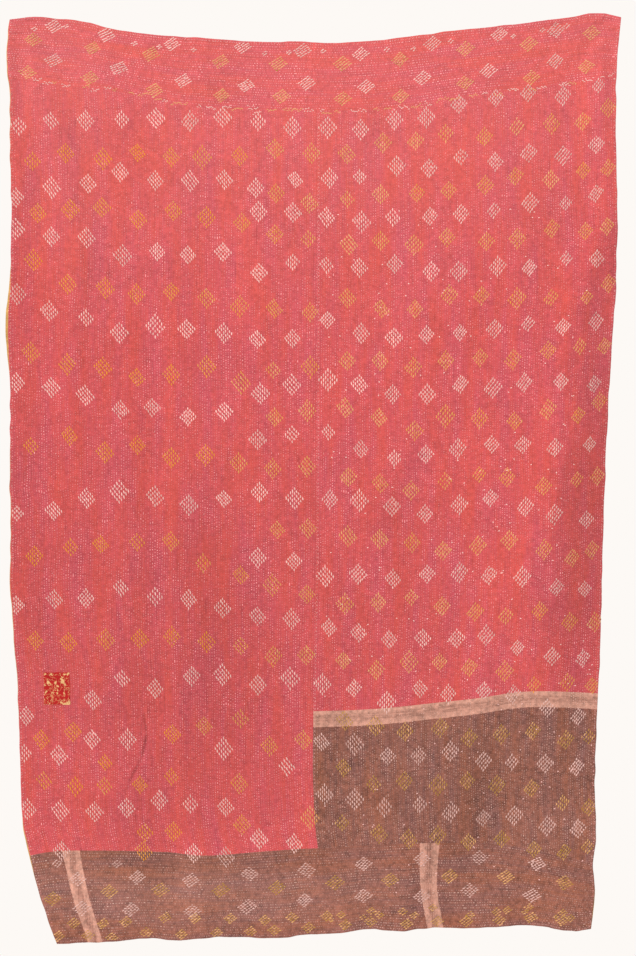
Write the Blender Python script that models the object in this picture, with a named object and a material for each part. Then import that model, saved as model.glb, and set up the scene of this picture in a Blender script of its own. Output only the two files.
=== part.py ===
"""Kantha quilt, hung up by its two top corners.

Run with: blender --background --python part.py

The quilt hangs in the XZ plane with its worked face towards -Y. The origin is the middle of the top
edge, +X is to the right and +Z is up. Two long red panels meet at a seam down the middle, the right one
ends in a brown panel, a red band lies across the head in two lengths and a brown strip across the foot,
a small printed patch mends the left panel, and the lining shows past the left edge.

Every piece is a slice of one net of points. The net runs between the quilt's edges and seams, each point
is set back by the folds, and every second line of the net is raised for the rows of quilting. The net is
then thickened straight back, so that layers on the same stretch of the net stay parallel.
"""

from typing import NamedTuple

import bmesh
import bpy
import numpy as np

MM = 0.001

# Thicknesses, gaps and relief, in millimetres.
CLOTH_THICKNESS = 2.4
LINING_THICKNESS = 1.0
PATCH_THICKNESS = 1.0
GAP = 0.3
RIDGE_HEIGHT = 1.1
BOW_AT_HEAD = 18.0
BOW_AT_FOOT = 6.0
HALF_WIDTH = 700.0
LENGTH = 2110.0
WANDER = 8.0
WANDER_LENGTH = 460.0
WANDER_SHIFT = 2.4

# The net: its columns to each side of the middle seam, and its rows between the lines across the quilt.
SIDE_COLUMNS = 57
COARSE_STEP = 3
BAND_ROWS = 12
UPPER_ROWS = 18
PATCH_ROWS = 1
LOWER_ROWS = 5
STRIP_ROWS = 14
PATCH_COLUMNS = (5, 10)
LINING_COLUMNS = 2

# Lines down the quilt, as (z, x) from the head to the foot, in millimetres.
LEFT_EDGE = (
    (46, -699), (-7, -705), (-138, -699), (-255, -700), (-373, -697), (-504, -698), (-662, -703),
    (-830, -699), (-938, -700), (-1150, -697), (-1242, -698), (-1385, -690), (-1513, -683),
    (-1679, -678), (-1819, -668), (-1870, -656), (-1960, -635), (-2022, -614), (-2072, -596),
)
MIDDLE_SEAM = (
    (-2, -7), (-90, -7), (-133, -6), (-161, 2), (-200, 2.5), (-593, 2), (-1191, 0), (-1541, -6),
    (-1720, -6), (-1819, 0), (-1858, 5), (-1900, 6), (-2054, 5),
)
RIGHT_EDGE = (
    (51, 699), (-21, 692), (-166, 688), (-455, 692), (-570, 692), (-697, 683), (-869, 674),
    (-1053, 669), (-1214, 665), (-1375, 656), (-1513, 646), (-1697, 641), (-1842, 642),
    (-1895, 636), (-1950, 639), (-2038, 631),
)
# How far the lining shows past the left edge, as (z, width).
LINING_LIP = (
    (46, 1.0), (-7, 2.0), (-190, 1.5), (-300, 0.8), (-520, 1.2), (-590, 4.5), (-650, 6.5), (-700, 5.0),
    (-760, 1.2), (-985, 1.5), (-1500, 1.5), (-1780, 1.0), (-1850, 3.5), (-1910, 1.5), (-2072, 1.0),
)

# Lines across the quilt, as (x, z) from left to right, in millimetres.
TOP_EDGE = (
    (-699, 46), (-644, 53), (-596, 51), (-538, 46), (-465, 28), (-398, 18), (-258, 7), (-124, 2),
    (0, 0), (105, 1), (163, 7), (301, 23), (451, 38), (564, 50), (651, 62), (699, 51),
)
BAND_SEAM = (
    (-699, -90), (-587, -106), (-492, -110), (-398, -129), (-334, -143), (-186, -152), (9, -159),
    (163, -152), (306, -133), (398, -120), (515, -110), (610, -92), (690, -87),
)
PATCH_TOP = ((-686, -1449), (-566, -1449), (-7, -1462), (281, -1446), (646, -1423))
BORDER_SEAM = (
    (-683, -1522), (-566, -1523), (-300, -1532), (-7, -1539), (94, -1536), (189, -1530), (281, -1520),
    (375, -1509), (469, -1495), (564, -1493), (646, -1497),
)
STRIP_SEAM = (
    (-656, -1870), (-610, -1861), (-515, -1858), (-352, -1863), (-258, -1872), (-117, -1861),
    (0, -1854), (281, -1842), (423, -1847), (515, -1861), (635, -1888),
)
HEM = (
    (-598, -2072), (-465, -2068), (-384, -2061), (-334, -2068), (-258, -2061), (-124, -2061),
    (9, -2052), (94, -2045), (136, -2040), (189, -2045), (235, -2038), (329, -2038), (469, -2033),
    (531, -2033), (596, -2045), (633, -2038),
)


class Fold(NamedTuple):
    """A soft trough (depth over 0, away from the worked face) or ridge (under 0) along a straight line,
    in millimetres. It reaches out to each side by its widths and dies away at its ends over its fades."""

    name: str
    x_top: float
    z_top: float
    x_low: float
    z_low: float
    left_width: float
    right_width: float
    depth: float
    top_fade: float
    low_fade: float


class Turn(NamedTuple):
    """A side of the quilt turned along a straight line, in millimetres. Past the line, on its left (side
    -1) or right (side 1), the cloth leaves the plane by slope, back if it is over 0, after a soft bend."""

    name: str
    x_top: float
    z_top: float
    x_low: float
    z_low: float
    side: int
    slope: float
    bend: float
    top_fade: float
    low_fade: float


FOLDS = (
    Fold("left grip, inner", -662, 50, -560, -90, 30, 34, 4, 10, 90),
    Fold("left grip, outer", -688, 20, -672, -230, 26, 30, 4, 10, 120),
    Fold("left corner ridge", -640, -30, -540, -560, 76, 66, -6, 90, 260),
    Fold("left corner trough", -556, -90, -452, -660, 70, 100, 3.5, 110, 260),
    Fold("left ridge", -552, -400, -554, -1080, 46, 36, -3.5, 120, 200),
    Fold("left long trough", -378, -480, -362, -1640, 70, 64, 5, 260, 300),
    Fold("low left trough", -366, -1330, -316, -2080, 100, 48, 6, 240, 170),
    Fold("left pressed line", -344, -900, -300, -1990, 14, 22, -2, 240, 160),
    Fold("broad middle hollow", -200, -960, -214, -1560, 160, 140, 6, 200, 180),
    Fold("trough beside the seam", -44, -1180, -34, -2020, 90, 38, 4, 260, 190),
    Fold("seam hollow", 5, -640, 2, -1530, 18, 18, 2, 150, 80),
    Fold("right grip, inner", 664, 55, 572, -90, 34, 30, 4, 10, 90),
    Fold("right grip, outer", 682, 30, 676, -210, 30, 26, 4, 10, 120),
    Fold("right corner outer trough", 634, -10, 540, -340, 52, 56, 4, 90, 170),
    Fold("right corner inner trough", 560, -40, 396, -430, 58, 70, 4, 110, 200),
    Fold("right hanging trough", 430, -330, 384, -820, 66, 66, 4, 200, 240),
    Fold("right ridge", 652, -30, 664, -520, 56, 40, -6, 80, 120),
    Fold("ridge along the turn", 612, -480, 474, -1440, 84, 40, -4, 240, 260),
    Fold("right thin trough", 358, -740, 318, -980, 34, 34, 3, 80, 100),
    Fold("right middle trough", 286, -780, 190, -1200, 66, 62, 5, 170, 190),
    Fold("right lower trough", 400, -1000, 330, -1480, 60, 70, 4, 160, 120),
    Fold("brown trough", 500, -1400, 400, -2060, 150, 110, 9, 200, 120),
)
TURNS = (
    Turn("left side forward", -618, -330, -606, -1440, -1, -0.10, 40, 160, 200),
    Turn("right side back", 656, -320, 492, -1500, 1, 0.34, 18, 180, 300),
)
# Broad waves that leave the whole cloth uneven, as (height, length, heading in degrees, start in degrees).
WAVES = (
    (2.2, 560, 9, 40), (1.5, 390, -16, 200), (1.4, 720, 76, 95), (0.9, 270, 24, 310), (0.6, 205, -8, 20),
)

# Flutes that rise from the hem, as (x, depth), in millimetres, left to right.
HEM_FLUTES = (
    (-520, 4), (-440, -4), (-352, 5), (-262, -4), (-160, 4), (-70, -3), (24, 3), (112, 5), (205, -5),
    (300, 4), (392, -4), (470, 5), (556, -6),
)
FLUTE_WIDTH = 46.0
FLUTE_TOP = -1890.0
FLUTE_FADE = 130.0


def smooth_line(table, at):
    """The cubic curve through a table of (place, value) rows, whose slope at each row is that between
    the rows beside it. Past its ends the table keeps its end values."""
    place, value = np.array(sorted(table), float).T
    slope = np.gradient(value, place)
    at = np.clip(at, place[0], place[-1])
    row = np.clip(np.searchsorted(place, at) - 1, 0, len(place) - 2)
    run = place[row + 1] - place[row]
    t = (at - place[row]) / run
    rise = value[row + 1] - value[row]
    start, end = slope[row] * run, slope[row + 1] * run
    return value[row] + t * (start + t * (3 * rise - 2 * start - end + t * (start + end - 2 * rise)))


def smooth_step(t):
    """0 before t = 0, 1 after t = 1, and an S between them."""
    t = np.clip(t, 0, 1)
    return t * t * (3 - 2 * t)


def along(line, x, z, shift):
    """How far right of a fold's or turn's line each point lies, and how much of it is left there: all of
    it midway, and none past its ends, in an S over each fade. The line wanders by a sine that starts at
    shift."""
    length = line.z_top - line.z_low
    down = line.z_top - z
    wander = WANDER * np.sin(2 * np.pi * z / WANDER_LENGTH + shift)
    off = x - line.x_top - (line.x_low - line.x_top) * np.clip(down / length, 0, 1) - wander
    return off, smooth_step(down / line.top_fade) * smooth_step((length - down) / line.low_fade)


def hump(off, left_width, right_width):
    """A raised cosine: 1 on the line and 0 from the widths outwards."""
    reach = np.where(off < 0, left_width, right_width)
    return 0.5 + 0.5 * np.cos(np.pi * np.clip(off / reach, -1, 1))


def drape(x, z):
    """y of the worked face at (x, z): a shallow bow, which brings the sides forward of the middle, then
    the folds, the turned sides, the flutes that rise from the hem and the broad waves."""
    foot = np.clip(-z / LENGTH, 0, 1)
    bow = BOW_AT_HEAD + (BOW_AT_FOOT - BOW_AT_HEAD) * foot
    back = -bow * (x / HALF_WIDTH) ** 2
    for place, fold in enumerate(FOLDS):
        off, share = along(fold, x, z, place * WANDER_SHIFT)
        back = back + fold.depth * share * hump(off, fold.left_width, fold.right_width)
    for turn in TURNS:
        off, share = along(turn, x, z, 0)
        past = np.maximum(off * turn.side, 0)
        bent = np.where(past < turn.bend, past**2 / (2 * turn.bend), past - turn.bend / 2)
        back = back + turn.slope * share * bent
    for flute_x, depth in HEM_FLUTES:
        share = smooth_step((FLUTE_TOP - z) / FLUTE_FADE)
        back = back + depth * share * hump(x - flute_x, FLUTE_WIDTH, FLUTE_WIDTH)
    for height, length, heading, start in WAVES:
        way = np.cos(np.radians(heading)) * x + np.sin(np.radians(heading)) * z
        back = back + height * np.sin(2 * np.pi * way / length + np.radians(start))
    return back


def across_at(column, z):
    """x of a column of the net at height z. Column 0 is the left edge, SIDE_COLUMNS the middle seam and
    twice that the right edge, with even steps between them."""
    share = column / SIDE_COLUMNS
    left, middle, right = (smooth_line(t, z) for t in (LEFT_EDGE, MIDDLE_SEAM, RIGHT_EDGE))
    return np.where(share < 1, left + (middle - left) * share, middle + (right - middle) * (share - 1))


def line_heights(table, columns):
    """z of a line across the quilt at each column of the net. The line is straight between the coarse
    columns, so that pieces with fine and with coarse columns meet along it."""
    coarse = np.arange(0, 2 * SIDE_COLUMNS + 1, COARSE_STEP)
    z = np.full(len(coarse), np.mean([height for _, height in table]))
    for _ in range(4):
        z = smooth_line(table, across_at(coarse, z))
    return np.interp(columns, coarse, z)


def net(lines, rows, columns):
    """(x, z) of the net's points, as arrays of rows and columns, between the lines across the quilt. rows
    holds the number of rows from each line to the next."""
    heights = [line_heights(table, columns) for table in lines]
    z = [heights[0]]
    for upper, lower, count in zip(heights, heights[1:], rows):
        z += [upper + (lower - upper) * (step + 1) / count for step in range(count)]
    z = np.array(z)
    return across_at(columns[None, :], z), z


def surface(lines, rows, columns, ridges_along):
    """The net's points with their depth, as an array of rows, columns and (x, y, z). Every second column
    or row is a raised row of quilting. The cloth is drawn flat at its edges and seams."""
    x, z = net(lines, rows, columns)
    row, column = np.indices(x.shape)
    counted = columns[column] if ridges_along == "columns" else row
    raised = counted % 2 == 1
    raised &= (row > 0) & (row < len(x) - 1)
    raised &= (columns[column] > 0) & (columns[column] < 2 * SIDE_COLUMNS)
    raised &= columns[column] != SIDE_COLUMNS
    return np.stack([x, drape(x, z) - RIDGE_HEIGHT * raised, z], axis=-1)


def trimmed(points, left=False, right=False, top=False, bottom=False):
    """A copy of a slice of the net with half a gap taken off at each side where it meets a neighbour."""
    points = points.copy()
    half = GAP / 2
    points[:, 0, 0] += half * left
    points[:, -1, 0] -= half * right
    points[0, :, 2] -= half * top
    points[-1, :, 2] += half * bottom
    return points


def material(name, rgb, roughness):
    """A plain cloth material. rgb is an sRGB colour from 0 to 1."""
    made = bpy.data.materials.new(name)
    made.use_nodes = True
    linear = [((c + 0.055) / 1.055) ** 2.4 for c in rgb]
    shader = made.node_tree.nodes["Principled BSDF"]
    shader.inputs["Base Color"].default_value = (*linear, 1)
    shader.inputs["Roughness"].default_value = roughness
    shader.inputs["Metallic"].default_value = 0.0
    made.diffuse_color = (*linear, 1)
    return made


def cloth_piece(collection, name, points, thickness, set_back, finish):
    """One closed piece: a grid laid on the points, set_back behind them, and thickened straight back."""
    rows, columns = points.shape[:2]
    bm = bmesh.new()
    bmesh.ops.create_grid(bm, x_segments=columns - 1, y_segments=rows - 1, size=1)
    placed = (points + np.array([0, set_back, 0])) * MM
    for vert, place in zip(bm.verts, placed.reshape(-1, 3)):
        vert.co = place
    bmesh.ops.triangulate(bm, faces=bm.faces, quad_method="FIXED")
    pushed = bmesh.ops.extrude_face_region(bm, geom=bm.faces)
    back = [item for item in pushed["geom"] if isinstance(item, bmesh.types.BMVert)]
    bmesh.ops.translate(bm, verts=back, vec=(0, thickness * MM, 0))
    bmesh.ops.recalc_face_normals(bm, faces=bm.faces)
    mesh = bpy.data.meshes.new(name)
    bm.to_mesh(mesh)
    bm.free()
    mesh.shade_smooth()
    mesh.set_sharp_from_angle(angle=np.radians(40))
    mesh.materials.append(finish)
    piece = bpy.data.objects.new(name, mesh)
    collection.objects.link(piece)
    return piece


def lining_points(head, main, foot):
    """The net's first columns from head to foot, with one more column for the lip outside the edge."""
    inner = np.concatenate([part[:, : LINING_COLUMNS + 1] for part in (head, main[1:], foot[1:])])
    lip = inner[:, :1].copy()
    lip[..., 0] -= smooth_line(LINING_LIP, lip[..., 2])
    return np.concatenate([lip, inner], axis=1)


def build_quilt(collection):
    red = material("red_cotton", (0.85, 0.37, 0.36), 0.9)
    brown = material("brown_cotton", (0.59, 0.38, 0.32), 0.9)
    ochre = material("ochre_lining", (0.86, 0.68, 0.36), 0.9)
    print_cloth = material("printed_patch", (0.62, 0.16, 0.15), 0.85)

    middle = SIDE_COLUMNS
    fine = np.arange(2 * middle + 1)
    coarse = np.array([c for c in fine if c % COARSE_STEP == 0 or c < COARSE_STEP])
    seam_row = UPPER_ROWS + PATCH_ROWS
    head = surface((TOP_EDGE, BAND_SEAM), (BAND_ROWS,), coarse, "rows")
    main = surface(
        (BAND_SEAM, PATCH_TOP, BORDER_SEAM, STRIP_SEAM),
        (UPPER_ROWS, PATCH_ROWS, LOWER_ROWS),
        fine,
        "columns",
    )
    foot = surface((STRIP_SEAM, HEM), (STRIP_ROWS,), coarse, "rows")
    main[seam_row, middle:, 1] = drape(main[seam_row, middle:, 0], main[seam_row, middle:, 2])

    split = int(np.flatnonzero(coarse == middle)[0])
    left_head, right_head = head[:, : split + 1], head[:, split:]
    first, last = PATCH_COLUMNS
    mend = main[UPPER_ROWS : seam_row + 1, first : last + 1]
    pieces = (
        ("top_band_left", trimmed(left_head, right=True, bottom=True), CLOTH_THICKNESS, 0, red),
        ("top_band_right", trimmed(right_head, left=True, bottom=True), CLOTH_THICKNESS, 0, red),
        (
            "left_panel",
            trimmed(main[:, : middle + 1], right=True, top=True, bottom=True),
            CLOTH_THICKNESS,
            0,
            red,
        ),
        (
            "right_panel",
            trimmed(main[: seam_row + 1, middle:], left=True, top=True, bottom=True),
            CLOTH_THICKNESS,
            0,
            red,
        ),
        (
            "brown_panel",
            trimmed(main[seam_row:, middle:], left=True, top=True, bottom=True),
            CLOTH_THICKNESS,
            0,
            brown,
        ),
        ("bottom_strip", trimmed(foot, top=True), CLOTH_THICKNESS, 0, brown),
        ("patch", mend, PATCH_THICKNESS, -PATCH_THICKNESS - GAP, print_cloth),
        ("lining", lining_points(head, main, foot), LINING_THICKNESS, CLOTH_THICKNESS + GAP, ochre),
    )
    for name, points, thickness, set_back, finish in pieces:
        cloth_piece(collection, name, points, thickness, set_back, finish)


def main():
    for obj in list(bpy.data.objects):
        bpy.data.objects.remove(obj, do_unlink=True)
    collection = bpy.data.collections.new("kantha_quilt")
    bpy.context.scene.collection.children.link(collection)
    build_quilt(collection)


if __name__ == "__main__":
    main()
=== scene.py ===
"""Looks of the kantha quilt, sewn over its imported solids.

The quilt hangs in the XZ plane with its worked face towards -Y, and the origin is the middle of its top
edge. Every cloth is a thin sheet on the drape of the solids: a grid between the quilt's edges and seams,
set back by the same folds, then rippled, creased and drawn down along its rows of quilting. The motifs,
the edge stitches and the stitches on the seams are short raised threads on those sheets. Sizes in the
tables are in millimetres, and the meshes are in metres.
"""

import math

from typing import NamedTuple

import bpy
import numpy as np
from bpy.props import FloatProperty, FloatVectorProperty, PointerProperty
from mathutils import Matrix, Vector


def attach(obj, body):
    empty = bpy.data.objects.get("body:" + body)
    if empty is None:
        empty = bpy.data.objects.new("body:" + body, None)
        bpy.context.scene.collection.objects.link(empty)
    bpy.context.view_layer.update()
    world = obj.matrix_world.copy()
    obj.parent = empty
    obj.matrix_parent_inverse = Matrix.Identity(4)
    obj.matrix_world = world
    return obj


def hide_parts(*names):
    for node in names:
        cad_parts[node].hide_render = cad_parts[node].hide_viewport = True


bl_info = {
    "name": "Kantha quilt",
    "version": (1, 0, 0),
    "blender": (4, 5, 0),
    "location": "View3D > Sidebar > Quilt",
    "description": "Sews the cloths and stitches of a hanging kantha quilt",
    "category": "Object",
}

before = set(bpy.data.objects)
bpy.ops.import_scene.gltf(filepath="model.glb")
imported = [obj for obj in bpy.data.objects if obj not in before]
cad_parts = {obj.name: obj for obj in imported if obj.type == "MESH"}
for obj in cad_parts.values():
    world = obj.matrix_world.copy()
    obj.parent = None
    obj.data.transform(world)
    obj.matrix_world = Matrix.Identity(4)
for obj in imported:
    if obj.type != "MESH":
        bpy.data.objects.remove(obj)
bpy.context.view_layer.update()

MM = 0.001
BODY = "root"

# Thicknesses and relief of the solids that the sheets follow.
CLOTH_THICKNESS = 2.4
LINING_THICKNESS = 1.0
GAP = 0.3
BOW_AT_HEAD = 18.0
BOW_AT_FOOT = 6.0
HALF_WIDTH = 700.0
LENGTH = 2110.0
WANDER = 8.0
WANDER_LENGTH = 460.0
WANDER_SHIFT = 2.4
SIDE_COLUMNS = 57
COARSE_STEP = 3

# How far the sheets stand in front of the drape, and the patch in front of the sheets.
FACE_LIFT = 0.55
PATCH_LIFT = 0.95
# How unevenly the cloth puffs between its rows: the least, the swing, the size of its patches and the seed.
PUFF_LEAST = 0.65
PUFF_SWING = 0.55
PUFF_SIZE = 17
PUFF_SEED = 21
# Every cloud repeats after this many cells. All chances in the sewing run from one seed.
CLOUD_CELLS = 96
SEWING_SEED = 7
# The rounds that it takes to find where a line across meets a share.
LINE_ROUNDS = 4
# Puckers of the lining, as (height, width, length, seed), and the rows that stay plain at its sides.
PUCKERS = ((0.3, 9, 21, 41), (0.3, 17, 12, 42))
PLAIN_ROWS = 2.5
LIP_POWER = 8
# How far the patch's edge frays, over what length, from which seed, and how steeply from its middle.
PATCH_FRAY = 0.9
PATCH_FRAY_LENGTH = 4
PATCH_FRAY_SEED = 31
PATCH_FRAY_POWER = 12
# How far the hems wander, over what length, and the seeds of the left, the right and the other two.
UNEVEN = 1.4
UNEVEN_LENGTH = 27.0
LEFT_SEED, RIGHT_SEED, HEM_SEED = 51, 52, 53

# Lines down the quilt, as (z, x) from the head to the foot.
LEFT_EDGE = (
    (46, -699), (-7, -705), (-138, -699), (-255, -700), (-373, -697), (-504, -698), (-662, -703),
    (-830, -699), (-938, -700), (-1150, -697), (-1242, -698), (-1385, -690), (-1513, -683), (-1679, -678),
    (-1819, -668), (-1870, -656), (-1960, -635), (-2022, -614), (-2072, -596),
)
MIDDLE_SEAM = (
    (-2, -7), (-90, -7), (-133, -6), (-161, 2), (-200, 2.5), (-593, 2), (-1191, 0), (-1541, -6),
    (-1720, -6), (-1819, 0), (-1858, 5), (-1900, 6), (-2054, 5),
)
RIGHT_EDGE = (
    (51, 699), (-21, 692), (-166, 688), (-455, 692), (-570, 692), (-697, 683), (-869, 674), (-1053, 669),
    (-1214, 665), (-1375, 656), (-1513, 646), (-1697, 641), (-1842, 642), (-1895, 636), (-1950, 639),
    (-2038, 631),
)
# How far the lining shows past the left and the right edge, as (z, width).
LEFT_LIP = (
    (46, 1.0), (-7, 2.0), (-190, 1.5), (-300, 0.8), (-520, 1.2), (-590, 4.5), (-650, 6.5), (-700, 5.0),
    (-760, 1.2), (-985, 1.5), (-1500, 1.5), (-1780, 1.0), (-1850, 3.5), (-1910, 1.5), (-2072, 1.0),
)
RIGHT_LIP = ((46, -1.0), (-1820, -1.0), (-1900, -1.0), (-1965, 1.6), (-2010, 1.8), (-2038, -0.5))

# Lines across the quilt, as (x, z) from left to right.
TOP_EDGE = (
    (-699, 46), (-644, 53), (-596, 51), (-538, 46), (-465, 28), (-398, 18), (-258, 7), (-124, 2), (0, 0),
    (105, 1), (163, 7), (301, 23), (451, 38), (564, 50), (651, 62), (699, 51),
)
BAND_SEAM = (
    (-699, -90), (-587, -106), (-492, -110), (-398, -129), (-334, -143), (-186, -152), (9, -159),
    (163, -152), (306, -133), (398, -120), (515, -110), (610, -92), (690, -87),
)
PATCH_TOP = ((-686, -1449), (-566, -1449), (-7, -1462), (281, -1446), (646, -1423))
BORDER_SEAM = (
    (-683, -1522), (-566, -1523), (-300, -1532), (-7, -1539), (94, -1536), (189, -1530), (281, -1520),
    (375, -1509), (469, -1495), (564, -1493), (646, -1497),
)
STRIP_SEAM = (
    (-656, -1870), (-610, -1861), (-515, -1858), (-352, -1863), (-258, -1872), (-117, -1861), (0, -1854),
    (281, -1842), (423, -1847), (515, -1861), (635, -1888),
)
HEM = (
    (-598, -2072), (-465, -2068), (-384, -2061), (-334, -2068), (-258, -2061), (-124, -2061), (9, -2052),
    (94, -2045), (136, -2040), (189, -2045), (235, -2038), (329, -2038), (469, -2033), (531, -2033),
    (596, -2045), (633, -2038),
)


class Fold(NamedTuple):
    """A soft trough (depth over 0, away from the worked face) or ridge (under 0) along a straight line.
    It reaches out to each side by its widths and dies away at its ends over its fades."""

    x_top: float
    z_top: float
    x_low: float
    z_low: float
    left_width: float
    right_width: float
    depth: float
    top_fade: float
    low_fade: float


class Turn(NamedTuple):
    """A side of the quilt turned along a straight line. Past the line, on its left (side -1) or right
    (side 1), the cloth leaves the plane by slope, back if it is over 0, after a soft bend."""

    x_top: float
    z_top: float
    x_low: float
    z_low: float
    side: int
    slope: float
    bend: float
    top_fade: float
    low_fade: float


FOLDS = [Fold(*row) for row in (
    # On the left: two from the grip, the corner's ridge and trough, a ridge, two troughs, a pressed line.
    (-662, 50, -560, -90, 30, 34, 4, 10, 90), (-688, 20, -672, -230, 26, 30, 4, 10, 120),
    (-640, -30, -540, -560, 76, 66, -6, 90, 260), (-556, -90, -452, -660, 70, 100, 3.5, 110, 260),
    (-552, -400, -554, -1080, 46, 36, -3.5, 120, 200), (-378, -480, -362, -1640, 70, 64, 5, 260, 300),
    (-366, -1330, -316, -2080, 100, 48, 6, 240, 170), (-344, -900, -300, -1990, 14, 22, -2, 240, 160),
    # In the middle: a broad hollow, the trough beside the seam and the hollow of the seam.
    (-200, -960, -214, -1560, 160, 140, 6, 200, 180), (-44, -1180, -34, -2020, 90, 38, 4, 260, 190),
    (5, -640, 2, -1530, 18, 18, 2, 150, 80),
    # On the right: two from the grip, the corner's two troughs, a hanging trough, two ridges and three more
    # troughs, then the trough of the brown panel.
    (664, 55, 572, -90, 34, 30, 4, 10, 90), (682, 30, 676, -210, 30, 26, 4, 10, 120),
    (634, -10, 540, -340, 52, 56, 4, 90, 170), (560, -40, 396, -430, 58, 70, 4, 110, 200),
    (430, -330, 384, -820, 66, 66, 4, 200, 240), (652, -30, 664, -520, 56, 40, -6, 80, 120),
    (612, -480, 474, -1440, 84, 40, -4, 240, 260), (358, -740, 318, -980, 34, 34, 3, 80, 100),
    (286, -780, 190, -1200, 66, 62, 5, 170, 190), (400, -1000, 330, -1480, 60, 70, 4, 160, 120),
    (500, -1400, 400, -2060, 150, 110, 9, 200, 120),
)]
# The left side turned forward and the right side turned back.
TURNS = (
    Turn(-618, -330, -606, -1440, -1, -0.10, 40, 160, 200),
    Turn(656, -320, 492, -1500, 1, 0.34, 18, 180, 300),
)
# Broad waves that leave the whole cloth uneven, as (height, length, heading in degrees, start in degrees).
WAVES = (
    (2.2, 560, 9, 40), (1.5, 390, -16, 200), (1.4, 720, 76, 95), (0.9, 270, 24, 310), (0.6, 205, -8, 20),
)
# Flutes that rise from the hem, as (x, depth), left to right.
HEM_FLUTES = (
    (-520, 4), (-440, -4), (-352, 5), (-262, -4), (-160, 4), (-70, -3), (24, 3), (112, 5), (205, -5),
    (300, 4), (392, -4), (470, 5), (556, -6),
)
FLUTE_WIDTH = 46.0
FLUTE_TOP = -1890.0
FLUTE_FADE = 130.0

# Creases that only the sheets have, in the same form: one low on the left in three parts, two soft pulls on
# the brown panel, one on the left in two parts, and one each in the middle, on the brown panel and the strip.
CREASES = [Fold(*row) for row in (
    (-398, -1530, -388, -1600, 4, 10, 1.8, 35, 20), (-388, -1590, -402, -1655, 4, 10, 2.8, 15, 20),
    (-401, -1645, -444, -1735, 4, 10, 2.2, 15, 50), (430, -1585, 372, -1845, 80, 60, 4.0, 70, 90),
    (560, -1590, 520, -1860, 50, 70, 2.2, 70, 90), (-446, -1215, -461, -1290, 5, 8, 0.9, 20, 25),
    (-461, -1280, -441, -1372, 5, 8, 1.0, 20, 40), (-252, -1285, -273, -1365, 5, 8, 1.0, 25, 30),
    (333, -1710, 333, -1890, 6, 6, -0.7, 60, 60), (-329, -1865, -330, -2010, 5, 7, 0.6, 40, 50),
)]
# How much painted shade darkens a sharp crease for its depth, how far that reaches, and how narrow a sharp
# one is.
PAINTED_CREASE_SHADE = 0.10
CREASE_WIDTH = 4.5
SHARP_CREASE = 12
# Ripples of the worn cloth, as (height, width, length, seed).
RIPPLES = ((0.50, 88, 130, 11), (0.34, 44, 70, 12), (0.17, 21, 30, 13))

# How the sheets turn back at a hem and dip into a seam, as (inwards, back) from the flat edge outwards.
RIMS = {
    "hem": ((0.5, 0.1), (0.0, 0.9), (0.1, 2.0), (1.0, 3.0)),
    "seam": ((0.0, 0.16), (0.05, 1.0), (0.1, 1.9)),
    "mend": ((0.4, 0.1), (0.05, 0.5), (0.1, 1.1)),
    "lining": ((0.4, 0.0), (0.0, -0.35), (0.1, -0.9), (9.0, -1.0)),
}

# How far the first samples come in from a rim, and the angle past which an edge of the mesh is sharp.
BEVEL = 0.4
SHARP_ANGLE = math.radians(42)

# Rows of motifs down the panels, white and yellow in turn from a white one: z at three places across the
# left panel, z beside the middle seam, and z at four places across the right and the brown panel.
LEFT_MOTIFS = (
    (-200, -170, -175), (-285, -250, -255), (-365, -295, -320), (-390, -390, -410), (-430, -485, -485),
    (-495, -575, -605), (-575, -665, -670), (-680, -760, -775), (-770, -835, -865), (-900, -930, -970),
    (-1100, -1025, -1070), (-1190, -1130, -1215), (-1295, -1260, -1295), (-1385, -1370, -1395),
    (-1565, -1480, -1460), (-1595, -1625, -1555), (-1635, -1615, -1630), (-1700, -1690, -1710),
    (-1780, -1745, -1755), (-1815, -1815, -1820),
)
SEAM_MOTIFS = (
    -185, -260, -335, -360, -390, -460, -525, -610, -680, -745, -795, -855, -920, -980, -1040, -1125, -1180,
    -1260, -1325, -1410, -1485, -1610, -1675, -1760, -1835,
)
RIGHT_MOTIFS = (
    (-195, -180, -140, -110), (-265, -220, -215, -170), (-310, -295, -270, -230), (-355, -345, -325, -295),
    (-395, -410, -375, -360), (-455, -455, -450, -425), (-515, -520, -505, -510), (-580, -605, -590, -570),
    (-660, -680, -650, -645), (-715, -735, -720, -700), (-780, -815, -775, -790), (-835, -880, -860, -840),
    (-895, -960, -925, -925), (-995, -1030, -990, -1005), (-1060, -1085, -1045, -1110),
    (-1125, -1165, -1145, -1175), (-1220, -1235, -1215, -1270), (-1295, -1280, -1300, -1330),
    (-1350, -1370, -1370, -1420), (-1425, -1445, -1445, -1475), (-1470, -1500, -1505, -1550),
    (-1550, -1580, -1590, -1610), (-1605, -1635, -1650, -1675), (-1675, -1700, -1710, -1755),
    (-1740, -1760, -1775, -1805), (-1795, -1840, -1815, -1860),
)
# Shares of a panel's width: where those heights are, where the first column of white and of yellow runs,
# the step between columns, and where the columns beside the middle seam begin and the right panel's end.
LEFT_PLACES = (0.0, 0.36, 0.74)
RIGHT_PLACES = (0.04, 0.30, 0.62, 0.94)
LEFT_STARTS = (0.020, 0.074)
RIGHT_STARTS = (0.036, 0.104)
MOTIF_STEP = 0.1125
SEAM_COLUMNS_FROM = 0.76
RIGHT_COLUMNS_TO = 0.99
# A stitch's share of its step, and how much closer and thinner the stitches of sideways motifs are.
STITCH_SHARE = 0.67
SIDEWAYS_PITCH = 0.82
SIDEWAYS_STEP = 0.86
SIDEWAYS_THREAD = 0.98
# How far to each side of a motif its row's slope is taken.
TILT_REACH = 25.0
# How far apart motifs are kept, across and down, and the rounds that it takes.
CLEAR_ACROSS = 37
CLEAR_DOWN = 54
SPREAD_ROUNDS = 12
SPREAD_SHARE = 0.25
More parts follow.
